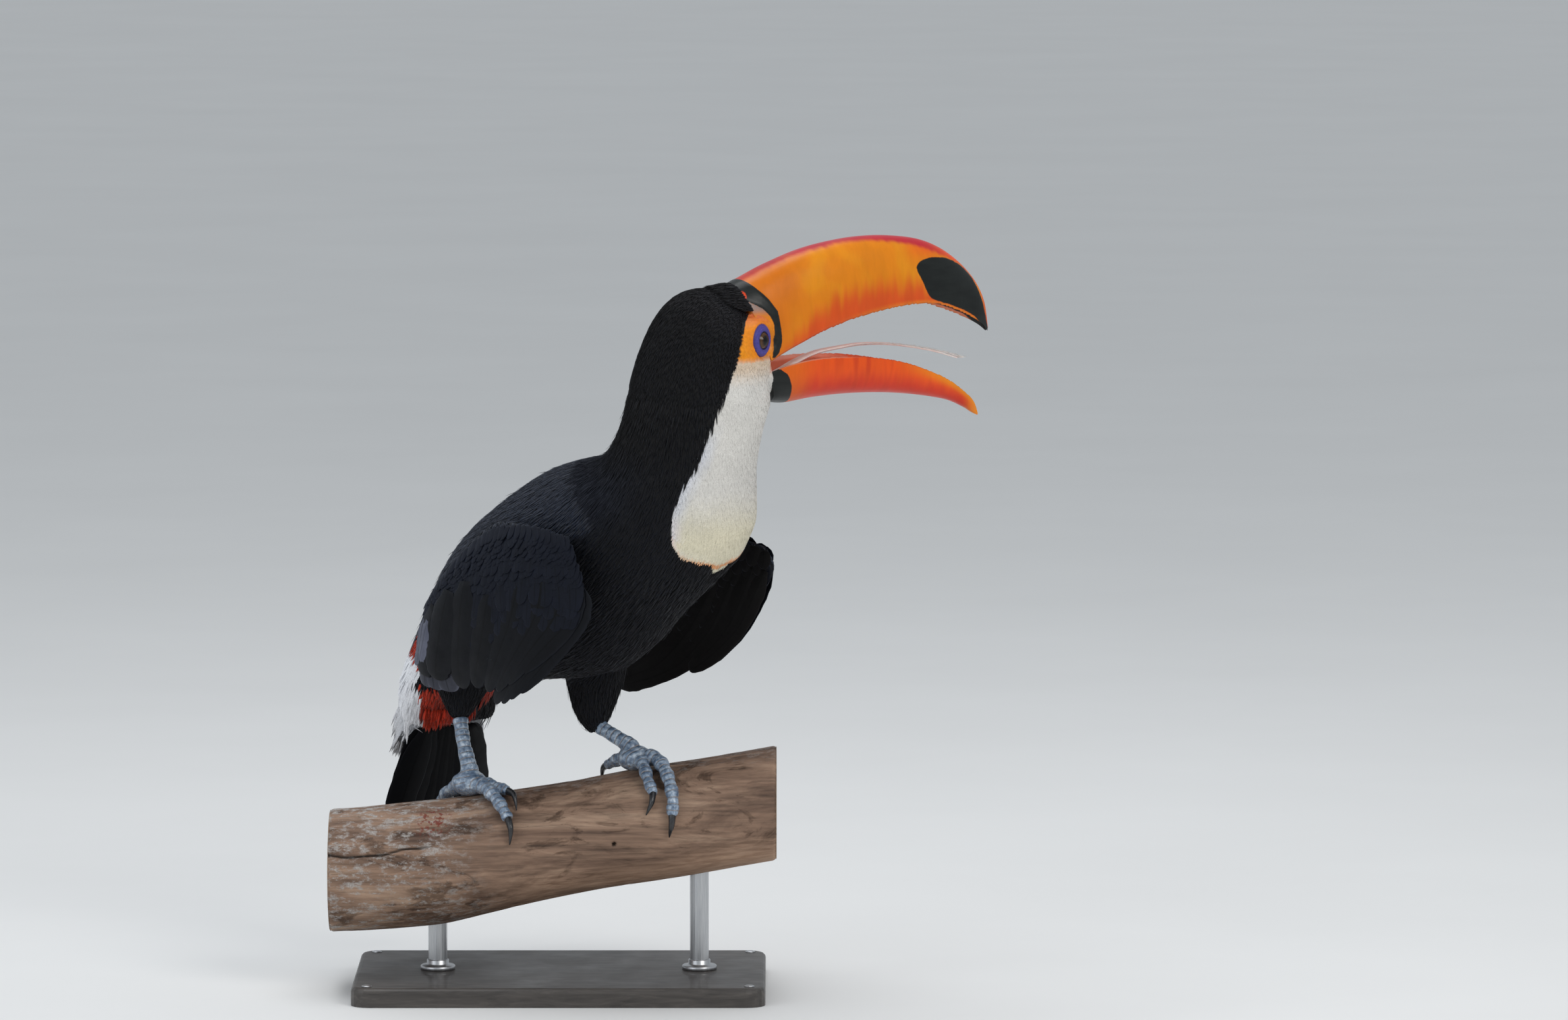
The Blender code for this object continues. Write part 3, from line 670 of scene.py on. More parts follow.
# softens the step where the wings and thighs come out of the body
def meltFolds(mesh):
    points = pointsOf(mesh)
    weight = np.zeros(len(points))
    v = np.linspace(0.0, 1.0, 60)
    for wing, rows, cols, reach in ((nearWing, -0.05, 5.0 * v, 0.017), (nearWing, 0.9 * v, 0.0, 0.009),
                                    (nearWing, 1.5 * v, 5.0, 0.010), (farWing, 0.0, 2.2 * v, 0.016),
                                    (farWing, 3.2 * v, 0.0, 0.014)):
        seam = wingFace(wing, rows, cols)[0][::2]
        gap = np.min(np.linalg.norm(points[:, None] - seam[None], axis=-1), axis=1)
        weight = np.maximum(weight, smoothStep(reach, 0.35 * reach, gap))
    one, two = readAll(mesh.edges, "vertices", 2, np.int32).T
    count = np.bincount(one, minlength=len(points)) + np.bincount(two, minlength=len(points))
    for _ in range(70):
        total = np.stack([np.bincount(one, points[two, k], len(points))
                          + np.bincount(two, points[one, k], len(points)) for k in range(3)], -1)
        points = points + 0.6 * weight[:, None] * (total / count[:, None] - points)
    movePoints(mesh, points)


# everything the coat needs to know at each corner of the skin
def finishSkin(ob):
    mesh = ob.data
    meltFolds(mesh)
    points, normals, cloud = pointsOf(mesh), normalsOf(mesh), lieCloud()
    tree = KDTree(len(cloud[0]))
    for i, p in enumerate(cloud[0]):
        tree.insert(p, i)
    tree.balance()
    near = np.array([tree.find(p)[1] for p in points])
    lie, kind, t, a = [x[near] for x in cloud[1:]]
    one, two = readAll(mesh.edges, "vertices", 2, np.int32).T
    for _ in range(8):                        # evens out the lie where parts meet
        total = lie.copy()
        np.add.at(total, one, lie[two])
        np.add.at(total, two, lie[one])
        lie = across(total, normals)
    colour, _, margin = markingsAndPaintedLight(points, kind, t, a)
    depth = np.full(len(points), skinSettings["depth"])
    depth[(kind == 1) | (kind == 2)] = skinSettings["wingDepth"]
    depth[(kind == 2) & (t > 1.8)] = skinSettings["tipDepth"]
    depth[(kind == 0) & (t > 11.0)] = skinSettings["headDepth"]
    h = points[:, 2] / mm
    bare = smoothStep(-2.5, 1.5, margin) * smoothStep(398, 405, h) * (kind == 0) * (t > 11.0)
    points = hollowSockets(points - normals * (depth * (1.0 - 0.85 * bare))[:, None])
    movePoints(mesh, points)
    setAttribute(ob, "markingsAndPaintedLight", colour)
    bpy.context.view_layer.objects.active = ob
    ob.select_set(True)
    bpy.ops.object.mode_set(mode="EDIT")
    bpy.ops.mesh.select_all(action="SELECT")
    bpy.ops.uv.smart_project(angle_limit=1.15, island_margin=0.002)
    bpy.ops.object.mode_set(mode="OBJECT")
    ob.select_set(False)
    mesh.uv_layers[0].name = "OFBake"
    settle(ob, "black_feather", "trunk", "neck", "head", "wing_right", "wing_left",
           "thigh_right", "thigh_left")
    return {"points": points, "normals": normals, "lie": lie, "kind": kind, "t": t, "a": a}


# faces of the skin with what their corners know
def readFaces(ob, known):
    mesh = ob.data
    quads = readAll(mesh.loops, "vertex_index", 1, np.int32).reshape(-1, 4)
    uv = readAll(mesh.uv_layers["OFBake"].uv, "vector", 2)
    c = known["points"][quads]
    skin = SimpleNamespace(corners=c, uv=uv.reshape(-1, 4, 2).astype(float))
    skin.lie, skin.normal = unit(known["lie"][quads].mean(1)), unit(known["normals"][quads].mean(1))
    skin.kind, skin.t, skin.a = [known[k][quads[:, 0]] for k in ("kind", "t", "a")]
    skin.area = 0.5 * np.linalg.norm(np.cross(c[:, 2] - c[:, 0], c[:, 3] - c[:, 1]), axis=1)
    skin.coat = coatOf(c.mean(1), skin.kind, skin.t, skin.a)[0]
    skin.tree = BVHTree.FromPolygons(known["points"].tolist(), quads.tolist())
    return skin


# the coat

coatSettings = {
    # name: length, half width, thickness, lift at the tip, unevenness; all in mm
    "head": (6.6, 0.40, 0.16, 0.75, 0.30), "neck": (9.6, 0.48, 0.20, 1.1, 0.35),
    "back": (11.0, 0.62, 0.20, 1.05, 0.30), "belly": (11.0, 0.64, 0.20, 1.15, 0.35),
    "thigh": (8.5, 0.55, 0.20, 1.0, 0.40), "wing": (8.0, 0.62, 0.20, 0.9, 0.25),
    "throat": (6.4, 0.62, 0.06, 0.30, 0.10), "bib": (8.2, 0.72, 0.07, 0.40, 0.12),
    "rump": (14.0, 1.00, 0.26, 1.2, 0.30), "vent": (11.0, 1.0, 0.30, 1.6, 0.35)}


# scatters roots over the chosen faces, so many to the square millimetre
def sow(skin, chosen, perMm2):
    face = np.flatnonzero(chosen)
    expected = skin.area[face] / mm**2 * perMm2
    count = np.floor(expected + rng.random(len(face))).astype(int)
    face = np.repeat(face, count)
    p, q = rng.random((2, len(face), 1))
    w = np.stack([(1 - p) * (1 - q), p * (1 - q), p * q, (1 - p) * q], 1)
    place = (skin.corners[face] * w).sum(1)
    colour, coat, margin = markingsAndPaintedLight(place, skin.kind[face], skin.t[face], skin.a[face])
    roots = {"place": place, "uv": (skin.uv[face] * w).sum(1), "lie": skin.lie[face],
             "normal": skin.normal[face], "colour": colour, "margin": margin, "face": face}
    keep = coat == skin.coat[face]            # none wears its neighbour's colour
    return {key: value[keep] for key, value in roots.items()}


# faces of a three-sided spindle with so many rings before its point
def spindle(rings):
    faces, last = [(0, 1, 2)], 3 * rings - 3
    for k in range(0, last, 3):
        faces += [(k + j, k + 3 + j, k + 3 + (j + 1) % 3, k + (j + 1) % 3) for j in range(3)]
    return faces + [(last + j, last + 3, last + (j + 1) % 3) for j in range(3)]


# a lock's small patch of the map, round the place of its root
def patchAt(uv):
    sideways = np.array([-1, 0, 1] * 3 + [0]) * 0.0012
    down = np.array([-1.0] * 3 + [-0.4] * 3 + [0.3] * 3 + [1.0]) * 0.0015
    return np.clip(uv[:, None] + np.stack([sideways, down], -1), 0.0, 1.0)


# lays one thin closed lock along the skin from every root
def growTufts(name, skin, roots, style, mat, slot, sizes, stray):
    length, half, thick, lift, uneven = coatSettings[style]
    n = len(roots["place"])
    vary = 1.0 + uneven * (rng.random(n) * 2.0 - 1.0)
    length, half = length * mm * vary * sizes, half * mm * (0.75 + 0.5 * rng.random(n)) * sizes ** 0.5
    tip = lift * mm * (0.55 + 0.6 * rng.random(n))
    if stray:
        tip = tip * np.where(rng.random(n) < stray, 2.2, 1.0)
    stations, widths = (0.0, 0.32, 0.68, 1.0), (0.55, 1.0, 0.72, 0.0)
    p, normal = roots["place"].copy(), roots["normal"].copy()
    d = unit(roots["lie"] + 0.16 * uneven * rng.normal(size=(n, 3)))
    rings = []
    for k, s in enumerate(stations):
        if k:
            p = p + d * (length * (s - stations[k - 1]))[:, None]
            for i in range(n):
                hit, out, _, gap = skin.tree.find_nearest(p[i])
                if gap < 0.0028:
                    p[i], normal[i] = hit, out
            d = across(d, normal)
        height = tip * (0.18 + 0.82 * s) if k else np.full(n, -0.00035)
        centre = p + normal * height[:, None]
        side = unit(np.cross(normal, d)) * (half * widths[k])[:, None]
        crest = normal * (thick * mm * widths[k])
        rings.append(np.stack([centre - side, centre + crest, centre + side] if s < 1.0 else [centre], 1))
    light = style in ("throat", "bib", "rump")
    # black locks are painted darker at the root and lighter at the tip, as painted shade under the locks that
    # lie over them; white ones stay nearly even
    shade = np.repeat((0.98, 1.0, 1.01, 1.02) if light else (0.70, 0.92, 1.06, 1.12), (3, 3, 3, 1))
    tone = roots["colour"] * (1.0 + (0.03 if light else 0.14) * (2.0 * rng.random((n, 1)) - 1.0))
    manyOf(name, np.concatenate(rings, 1), spindle(3), mat, slot, tone[:, None] * shade[None, :, None],
           patchAt(roots["uv"]), smooth=not light)           # flat facets keep the white even


# one mesh from many like shapes: verts (n, k, 3), the faces of one, colours and map places
def manyOf(name, verts, faces, mat, slot, colour, patch, vaneMap=None, smooth=True):
    n, k = verts.shape[:2]
    mesh = bpy.data.meshes.new(name)
    mesh.vertices.add(n * k)
    mesh.vertices.foreach_set("co", verts.astype(np.float32).ravel())
    sizes = np.array([len(f) for f in faces])
    loops = (np.concatenate(faces)[None] + (np.arange(n) * k)[:, None]).ravel()
    mesh.loops.add(len(loops))
    mesh.loops.foreach_set("vertex_index", loops.astype(np.int32))
    starts = np.cumsum(sizes) - sizes
    starts = (starts[None] + (np.arange(n) * sizes.sum())[:, None]).ravel()
    mesh.polygons.add(len(starts))
    mesh.polygons.foreach_set("loop_start", starts.astype(np.int32))
    mesh.polygons.foreach_set("use_smooth", np.full(len(starts), smooth))
    mesh.update(calc_edges=True)
    for key, places in (("OFBake", patch), ("vane", vaneMap)):
        if places is not None:
            flat = places.reshape(-1, 2)[loops].astype(np.float32).ravel()
            mesh.uv_layers.new(name=key).uv.foreach_set("vector", flat)
    ob = objectOf(name, mesh, mat)
    # the plumage colours, with painted shade towards the root of each lock or vane
    setAttribute(ob, "plumeAndPaintedLight", colour.reshape(-1, 3))
    return settle(ob, slot)


def plumageMaterial(name, rough, specular, sheen, sheenTint, low=0.84):
    paint = Paint(name, rough, specular=specular, sheen=sheen, sheenRough=0.5, sheenTint=(*sheenTint, 1.0))
    broad = paint.tones(paint.noise(55.0, 5.0, 0.6), low, 1.54 - 0.5 * low)
    fine = paint.tones(paint.noise(1300.0, 2.0), 0.88, 1.10)
    return paint.finish(paint.times(paint.read("plumeAndPaintedLight", "Color"), broad, fine), None,
                        (paint.noise(1600.0, 2.0), 0.10, 0.0002))


def growCoat(skin):
    black = plumageMaterial("blackPlumage", 0.62, 0.15, 0.04, (0.6, 0.7, 1.0))
    glossy = plumageMaterial("blueBlackPlumage", 0.50, 0.34, 0.10, (0.45, 0.6, 1.0))
    white = plumageMaterial("whitePlumage", 0.80, 0.15, 0.10, (1.0, 1.0, 1.0), 0.93)
    red = plumageMaterial("redPlumage", 0.62, 0.25, 0.10, (1.0, 0.7, 0.6))
    plain, pale = skin.coat == 0, skin.coat == 1
    body, t, top = plain & (skin.kind == 0), skin.t, np.cos(skin.a)
    outward = -(skin.normal @ wingInward)
    nearTufts = (skin.kind == 1) & ~((outward > 0.25) & (t > 0.35 + 0.7 * rng.random(len(t))))
    farTufts = (skin.kind == 2) & ((np.abs(outward) < 0.35) | (t < 0.7))
    # name, where, how many to the square millimetre, style, material and how many stand out
    plan = [("crown", body & (t > 12.6), 1.05, "head", black, 0.0),
            ("head", body & (t > 10.9) & (t <= 12.6), 0.85, "head", black, 0.0),
            ("neck", body & (t > 9.0) & (t <= 10.9), 0.66, "neck", black, 0.02),
            ("shoulder", body & (t > 7.5) & (t <= 9.0), 0.50, "neck", black, 0.02),
            ("mantle", body & (t <= 7.5) & (top > 0.1), 0.36, "back", glossy, 0.02),
            ("belly", body & (t <= 7.5) & (top <= 0.1), 0.33, "belly", black, 0.04),
            ("thighs", skin.kind > 2, 0.55, "thigh", black, 0.06),
            ("wing_near", plain & nearTufts, 0.50, "wing", glossy, 0.0),
            ("wing_far", plain & farTufts, 0.42, "wing", glossy, 0.0),
            ("throat", pale & (t > 10.2), 1.25, "throat", white, 0.0),
            ("bib", pale & (t <= 10.2), 1.05, "bib", white, 0.0),
            ("rump", skin.coat == 3, 0.40, "rump", white, 0.06),
            ("vent", skin.coat == 4, 0.30, "vent", red, 0.06)]
    total = 0
    for name, chosen, density, style, mat, stray in plan:
        roots = sow(skin, chosen, density)
        x, h = roots["place"][:, 0] / mm, roots["place"][:, 2] / mm
        sizes = np.ones(len(h))
        if style in ("head", "neck"):         # shortest where it meets the bare face
            sizes = np.where(h > 395, 0.45 + 0.55 * smoothStep(0.0, 14.0, np.abs(roots["margin"])), 1.0)
        if style == "throat":
            sizes = 0.5 + 0.5 * smoothStep(404, 390, h)
        if style == "bib":                    # short along the lower rim
            sizes = 0.35 + 0.65 * smoothStep(0.5, 9.0, roots["margin"])
        if style == "vent":                   # and in the narrow red strip under the wing
            sizes = np.where(skin.t[roots["face"]] > 2.6, 0.55, 1.0)
        if style == "rump":                   # the white comes to a point down the tail's near edge
            sizes = 1.0 - 0.45 * smoothStep(-99.0, -92.0, x) * smoothStep(188.0, 170.0, h)
        slot = "white_feather" if mat is white else "black_feather"
        growTufts("coat_" + name, skin, roots, style, mat, slot, sizes, stray)
        total += len(h)
    print("coat:", total, "tufts")
    return black, white, red


# the bill: rows of culmen forward and height, cutting edge forward and height, half width, in mm

bill = {"upper": [
    (2.4, 451.2, 21.8, 403.3, 19.8), (13, 455.6, 30, 407.6, 20.4), (31, 463.0, 42, 412.8, 20.0),
    (58, 471.5, 62, 420.2, 19.0), (86, 476.2, 85, 426.6, 17.6), (109, 477.5, 107, 430.6, 16.2),
    (129, 476.3, 127, 433.0, 14.8), (145, 473.6, 143, 433.4, 13.2), (159, 468.4, 156, 431.8, 11.4),
    (171, 461.2, 168, 428.2, 9.4), (181.5, 452.6, 178, 424.4, 7.2), (190, 442.6, 187, 420.6, 5.0),
    (195.6, 431.2, 193.4, 416.8, 2.9), (198.4, 416.0, 197.6, 412.9, 1.0)],
    # lower half: cutting edge forward and height, keel forward and height, half width
    "lower": [
    (20.0, 395.4, 29.5, 376.2, 17.6), (24.6, 397.0, 33.4, 375.4, 18.6), (38, 400.4, 42, 375.0, 18.4),
    (60, 403.2, 62, 377.2, 17.4),
    (84, 403.0, 86, 378.3, 15.8), (106, 401.0, 110, 377.9, 14.2), (127, 397.0, 132, 376.2, 12.4),
    (149, 390.0, 152, 373.4, 10.0), (165, 383.2, 168, 370.0, 7.6), (178, 375.2, 179.5, 365.2, 5.0),
    (186, 368.6, 186.4, 361.2, 2.9), (190.4, 361.0, 190.6, 359.4, 1.0)],
    "stations": 230, "outside": 61, "inside": 14,
    "patch": [(135.2, 456.3), (139, 460.6), (147.1, 462.3), (158.8, 461.9), (167.1, 459.5),
              (175.7, 455.0), (183, 448.6), (188.6, 440.4), (192.9, 430.5), (196.3, 419.8), (199, 412),
              (196.2, 413), (185.8, 422.2), (175.5, 427.4), (164.3, 431.2), (154.7, 434.0),
              (147, 436.7), (143.7, 440.1), (141, 445.4), (137.5, 451.4)],
    "bandFront": [(403.3, 21.9), (408, 26.8), (414.5, 29.3), (424.1, 28.6), (434.2, 27.0), (442.7, 20.6),
                  (449.7, 13.7), (453.9, 9.2), (462, 3.0)],
    "bandRear": [(400, 21.6), (405, 22.0), (410, 22.8), (419.7, 23.6), (427, 23.3), (431.5, 21.0),
                 (436.4, 16.0), (439.0, 11.0), (441.5, 6.0), (442.5, -12.0), (462, -20.0)],
    "lowerBand": [(370, 39.5), (376, 40.5), (386.2, 38.6), (390.9, 36.8), (394.5, 34.5), (396.4, 31.0),
                  (400.0, 27.0)],
    "crimson": [(2, 450.0), (11.3, 454.4), (26.3, 460.6), (43.6, 466.4), (58.3, 470.3), (81.6, 474.4),
                (103.5, 475.2), (123, 473.6), (137.1, 470.8), (151.1, 466.6), (163.7, 462.0), (175, 456.6),
                (183, 450.0), (190, 441.4), (199, 420.0)],
    "redEdge": [(22, 402), (40, 416), (56, 432), (72, 439), (92, 444.6), (113, 447.8), (134, 447.6),
                (150, 441), (200, 430)]}


# distance in mm to the edge of an outline in the head's side view, positive inside it
def insideOf(outline, f, h):
    closed = np.array(outline[-1:] + outline + outline[:2], float)
    corners = spline(closed, np.linspace(1.0, len(outline) + 1.0, 120, endpoint=False))
    best = np.full(len(f), 1e9)
    inside = np.zeros(len(f), bool)
    for (x0, y0), (x1, y1) in zip(corners, np.roll(corners, -1, axis=0)):
        u = np.clip(((f - x0) * (x1 - x0) + (h - y0) * (y1 - y0)) / ((x1 - x0)**2 + (y1 - y0)**2), 0, 1)
        best = np.minimum(best, np.hypot(f - x0 - u * (x1 - x0), h - y0 - u * (y1 - y0)))
        crossing = (y0 > h) != (y1 > h)
        where = f < x0 + (h - y0) * (x1 - x0) / (y1 - y0 if y1 != y0 else 1e-9)
        inside ^= crossing & where
    return np.where(inside, best, -best)


def billRings(rows, isUpper):
    t = np.linspace(0.0, len(rows) - 1.0, bill["stations"])
    f1, h1, f2, h2, half = spline(rows, t).T
    outF, outH, inF, inH = (f1, h1, f2, h2) if isUpper else (f2, h2, f1, h1)
    turn = np.linspace(-1.0, 1.0, bill["outside"])
    a = 0.5 * math.pi * np.sign(turn) * (1.0 - (1.0 - np.abs(turn)) ** 1.5)   # closest along the cutting edge
    across = np.sin(a) * (np.abs(np.sin(a)) + 1e-9) ** -0.16
    rise = np.maximum(np.cos(a), 0.0) ** 0.72
    rise[0] = rise[-1] = 0.0
    f = inF[:, None] + (outF - inF)[:, None] * rise
    h = inH[:, None] + (outH - inH)[:, None] * rise
    side = half[:, None] * across
    # small irregular teeth along the cutting edge
    tooth = f / 4.6 + 0.5 * np.sin(f * 0.11) + 0.35 * np.sin(f * 0.43)
    bite = (tooth % 1.0) * smoothStep(0.30, 0.0, np.maximum(rise, 0.0)) * smoothStep(46, 62, f)
    bite = bite * smoothStep(190, 176, f)
    h = h + (0.75 if isUpper else -0.45) * bite
    b = math.pi * (0.5 - np.arange(1, bill["inside"]) / bill["inside"])
    deep = 0.20 if isUpper else 0.60
    inside = deep * np.cos(b)
    fi = inF[:, None] + (outF - inF)[:, None] * inside
    hi = inH[:, None] + (outH - inH)[:, None] * inside
    si = (0.88 * half)[:, None] * np.sin(b)
    f, side, h = [np.concatenate(x, 1) for x in ((f, fi), (side, si), (h, hi))]
    return f, side, h, inF, inH, outF, outH


def billMaterial(name, rough):
    paint = Paint(name, rough, specular=0.24, coat=0.06, coatRough=0.22)
    yaw = (0.0, 0.0, math.radians(body["headYaw"]))
    streak, grain = [paint.node("Mapping", {"Vector": paint.place, "Rotation": yaw, "Scale": scale},
                                vector_type="TEXTURE").outputs["Vector"]
                     for scale in ((1.0, 1.0, 5.0), (6.0, 1.0, 1.0))]
    streaks = paint.ramp(paint.noise(190.0, 5.0, 0.6, 0.6, streak), (0.28, 0.95), (0.72, 1.04))
    clouds = paint.tones(paint.noise(60.0, place=streak), 0.92, 1.06)
    base = paint.times(paint.read("billColour", "Color"), streaks, clouds)
    # black marks have edges as sharp as the horn's, a little uneven
    wander = paint.calc("MULTIPLY_ADD", paint.noise(260.0, 3.0), 1.1, -0.05)
    black = paint.ramp(paint.calc("ADD", paint.read("black"), wander), (0.22, 0.0), (0.80, 1.0))
    horn = paint.tones(paint.noise(160.0, 5.0, place=grain), (0.0050, 0.0065, 0.0062), (0.012, 0.015, 0.0138))
    return paint.finish(paint.mix(black, base, horn),
                        paint.tones(paint.noise(240.0, place=grain), rough - 0.06, rough + 0.08),
                        (paint.noise(420.0, 6.0, 0.65, place=grain), 0.10, 0.0006),
                        (paint.noise(120.0, 3.0, place=streak), 0.12, 0.0012),
                        (paint.noise(1800.0, 2.0), 0.05, 0.0002))


# horn colours of the bill, out of the base tone and what lies over it: where and which
def hornColours(ob, base, *layers):
    colour = np.tile(np.array(base), (len(ob.data.vertices), 1))
    for mask, shade in layers:
        colour = lerp(colour, np.array(shade), np.clip(mask, 0.0, 1.0))
    setAttribute(ob, "billColour", colour)


hornTones = {"amber": (0.76, 0.225, 0.003), "yellow": (0.82, 0.31, 0.005), "brown": (0.68, 0.165, 0.004),
             "red": (0.70, 0.070, 0.010), "crimson": (0.50, 0.018, 0.032), "salmon": (0.78, 0.25, 0.15),
             "deep": (0.52, 0.022, 0.009), "wine": (0.598, 0.0253, 0.01035), "paintedRimHighlight": (0.82, 0.52, 0.40),
             "tangerine": (0.82, 0.090, 0.007), "golden": (0.86, 0.27, 0.010), "bone": (0.30, 0.21, 0.18)}


def makeUpperBill():
    f, side, h, inF, inH = billRings(bill["upper"], True)[:5]
    front, rear = follow(bill["bandFront"], h), follow(bill["bandRear"], h)
    ridge = 0.62 * smoothStep(0.0, 1.6, front - f) * smoothStep(-0.4, 1.6, f - rear)
    ridge[:, bill["outside"]:] = 0.0          # the band stands proud of the horn
    side = side * (1.0 + ridge / np.hypot(side, 12.0))
    h = h + 0.3 * ridge * (np.abs(side) < 12.0)
    rings = hollowSockets(fromHead(f, side, h).reshape(-1, 3)).reshape(f.shape + (3,))
    ob = objectFrom("bill_upper_horn", gridShape(rings), billMaterial("upperBillHorn", 0.34))
    pf, pa, ph = headPlace(pointsOf(ob.data))
    wave = wavering(np.stack([pf * 0.30, pa * 0.05, ph * 0.035], 1), 1.0)
    broad = wavering(np.stack([pf * 0.06, pa * 0.02, ph * 0.06], 1), 1.0, 4.0)
    overRed, overEdge = ph - follow(bill["redEdge"], pf), ph - follow(bill["crimson"], pf)
    overTomium = ph - np.interp(pf, inF, inH)
    half = np.interp(pf, inF, spline(bill["upper"], np.linspace(0, 13, bill["stations"]))[:, 4])
    front, rear = follow(bill["bandFront"], ph), follow(bill["bandRear"], ph)
    nostril = np.hypot(pf - 5.4, (ph - 444.6) * 0.62) - 1.5
    c = hornTones
    hornColours(ob, c["amber"],
                (smoothStep(0.05, 0.45, broad) * smoothStep(20, 60, pf) * 0.5, c["yellow"]),
                (smoothStep(62, 28, pf + 10 * broad) * 0.85, c["brown"]),
                (smoothStep(8.0, -9.0, overRed + 6.0 * wave) * 0.9, c["red"]),
                (smoothStep(118, 150, pf) * smoothStep(458, 470, ph) * 0.8, c["tangerine"]),
                (smoothStep(-1.6, 1.2, overEdge + 0.8 * wave), c["crimson"]),
                (smoothStep(-1.6, 1.2, overEdge) * smoothStep(140, 175, pf), c["tangerine"]),
                (smoothStep(3.0, 0.8, overTomium) * smoothStep(60, 120, pf) * 0.6, c["golden"]),
                ((np.abs(pa) < 0.9 * half) * (overTomium < 6.0) * (overTomium > -1.0)
                 * smoothStep(0.97, 0.90, np.abs(pa) / 20.0), c["salmon"]),
                ((pf < rear + 1.0) * smoothStep(430, 437, ph), c["bone"]),
                ((pf < rear + 1.0) * smoothStep(436, 428, ph), marks["orange"]),
                (smoothStep(1.5, 0.5, nostril), marks["nostril"]))
    black = np.maximum(np.minimum(front - pf, pf - rear), insideOf(bill["patch"], pf, ph))
    black = np.minimum(black, np.where(np.abs(pa) > 5.0, nostril, 2.0))
    setAttribute(ob, "black", np.clip(black, -2.0, 2.0))
    return settle(ob, "orange_bill", "bill_upper")


def makeLowerBill():
    f, side, h, inF, inH, outF, outH = billRings(bill["lower"], False)
    ob = objectFrom("bill_lower_horn", gridShape(fromHead(f, side, h)), billMaterial("lowerBillHorn", 0.36))
    pf, pa, ph = headPlace(pointsOf(ob.data))
    wave = wavering(np.stack([pf * 0.22, pa * 0.05, ph * 0.03], 1), 1.0, 2.0)
    keel, rim = np.interp(pf, outF, outH), np.interp(pf, inF, inH)
    half = np.interp(pf, inF, spline(bill["lower"], np.linspace(0, 11, bill["stations"]))[:, 4])
    down = np.clip((rim - ph) / np.maximum(rim - keel, 1.0), 0.0, 1.0)
    tipEdge = smoothStep(118, 175, pf + 12 * (0.5 - down))
    trough = (np.abs(pa) < 0.86 * half) * (ph > keel + 0.36 * (rim - keel))     # the hollow inside
    onRim = np.abs(rim - ph)
    c = hornTones
    hornColours(ob, c["tangerine"],
                (smoothStep(0.25, 0.85, down + 0.18 * wave) * 0.85, c["wine"]),
                (smoothStep(60, 38, pf) * 0.5, c["brown"]),
                (smoothStep(0.0, 0.55, -wave) * smoothStep(55, 80, pf) * smoothStep(150, 120, pf) * 0.45,
                 c["deep"]),
                (tipEdge * smoothStep(0.50, 0.05, down) * 0.95, c["golden"]),
                (smoothStep(176, 189, pf) * 0.9, c["golden"]),
                (trough * smoothStep(178, 150, pf), c["salmon"]),
                # a pale line along the rim near the root: painted highlight
                (smoothStep(1.0, 0.2, onRim) * smoothStep(24, 40, pf) * smoothStep(100, 70, pf) * 0.6,
                 c["paintedRimHighlight"]))
    black = follow(bill["lowerBand"], ph) - pf
    black = np.where((trough | (onRim < 0.5)) & (pf > 28.0), -2.0, black)
    setAttribute(ob, "black", np.clip(black, -2.0, 2.0))
    settle(ob, "red_bill", "bill_lower")
    print("head: bill")


# the tongue, a stiff strip frayed into barbs along both sides of its outer half

tongue = {"rows": [(29, 390, 6.0, 2.2), (41, 395, 5.8, 1.9), (52, 400.2, 5.2, 1.6), (67, 405.2, 4.4, 1.3),
                   (84, 407.6, 3.9, 1.1), (101, 409.0, 3.5, 1.0), (119, 408.4, 3.1, 0.9),
                   (138, 405.9, 2.6, 0.8), (157, 402.1, 2.0, 0.7), (175, 396.8, 1.0, 0.5)],
          "barbs": 520, "barbLength": 4.2}


def makeTongue():
    paint = Paint("tongueSkin", 0.50, under=0.25, underRadius=(1.0, 0.4, 0.3), underScale=0.002)
    tone = paint.tones(paint.noise(240.0, 5.0), (0.88, 0.78, 0.72), (0.96, 0.93, 0.90))
    mat = paint.finish(tone, None, (paint.noise(900.0), 0.3, 0.0004))
    f, h, half, thick = spline(tongue["rows"], np.linspace(0.0, 9.0, 120)).T[..., None]
    a = np.linspace(0.0, 2 * math.pi, 20, endpoint=False)
    groove = 1.0 - 0.35 * np.exp(-(np.cos(a) / 0.25) ** 2) * (np.sin(a) > 0)
    ring = fromHead(f, half * 0.8 * np.cos(a), h + thick * np.sin(a) * groove)
    settle(objectFrom("tongue_blade", gridShape(ring), mat), "tongue_skin", "tongue")
    n = tongue["barbs"]
    t = np.linspace(3.6, 8.98, n // 2).repeat(2)
    f, h, half, thick = spline(tongue["rows"], t).T
    side = np.tile([1.0, -1.0], n // 2)
    length = tongue["barbLength"] * (0.6 + 0.6 * rng.random(n)) * smoothStep(3.2, 5.0, t)
    lean = 2.2 + 1.6 * rng.random(n) + 2.5 * smoothStep(7.5, 9.0, t)
    rings = []
    for s, w in ((0.0, 0.42), (0.5, 0.30), (1.0, 0.0)):
        cf, ca = f + length * s * 0.9 * lean / 3.0, side * (0.62 * half + length * s * 0.42)
        ch = h + 0.5 * (rng.random(n) - 0.4) * s + 0.9 * s * s * (rng.random(n) - 0.3)
        corners = ((-w, 0.0), (0.0, 0.7 * w), (w, -0.3 * w)) if w else ((0.0, 0.0),)
        rings.append(np.stack([fromHead(cf + df, ca, ch + dh) for df, dh in corners], 1))
    patch = np.stack([(f - 29) / 150.0, 0.5 + 0.3 * side], 1)[:, None] + rng.random((n, 7, 2)) * 0.003
    manyOf("tongue_barbs", np.concatenate(rings, 1), spindle(2), mat, "tongue_skin", np.full((n, 7, 3), 0.8),
           patch)
    print("head: tongue")


# the eyes' balls and lids

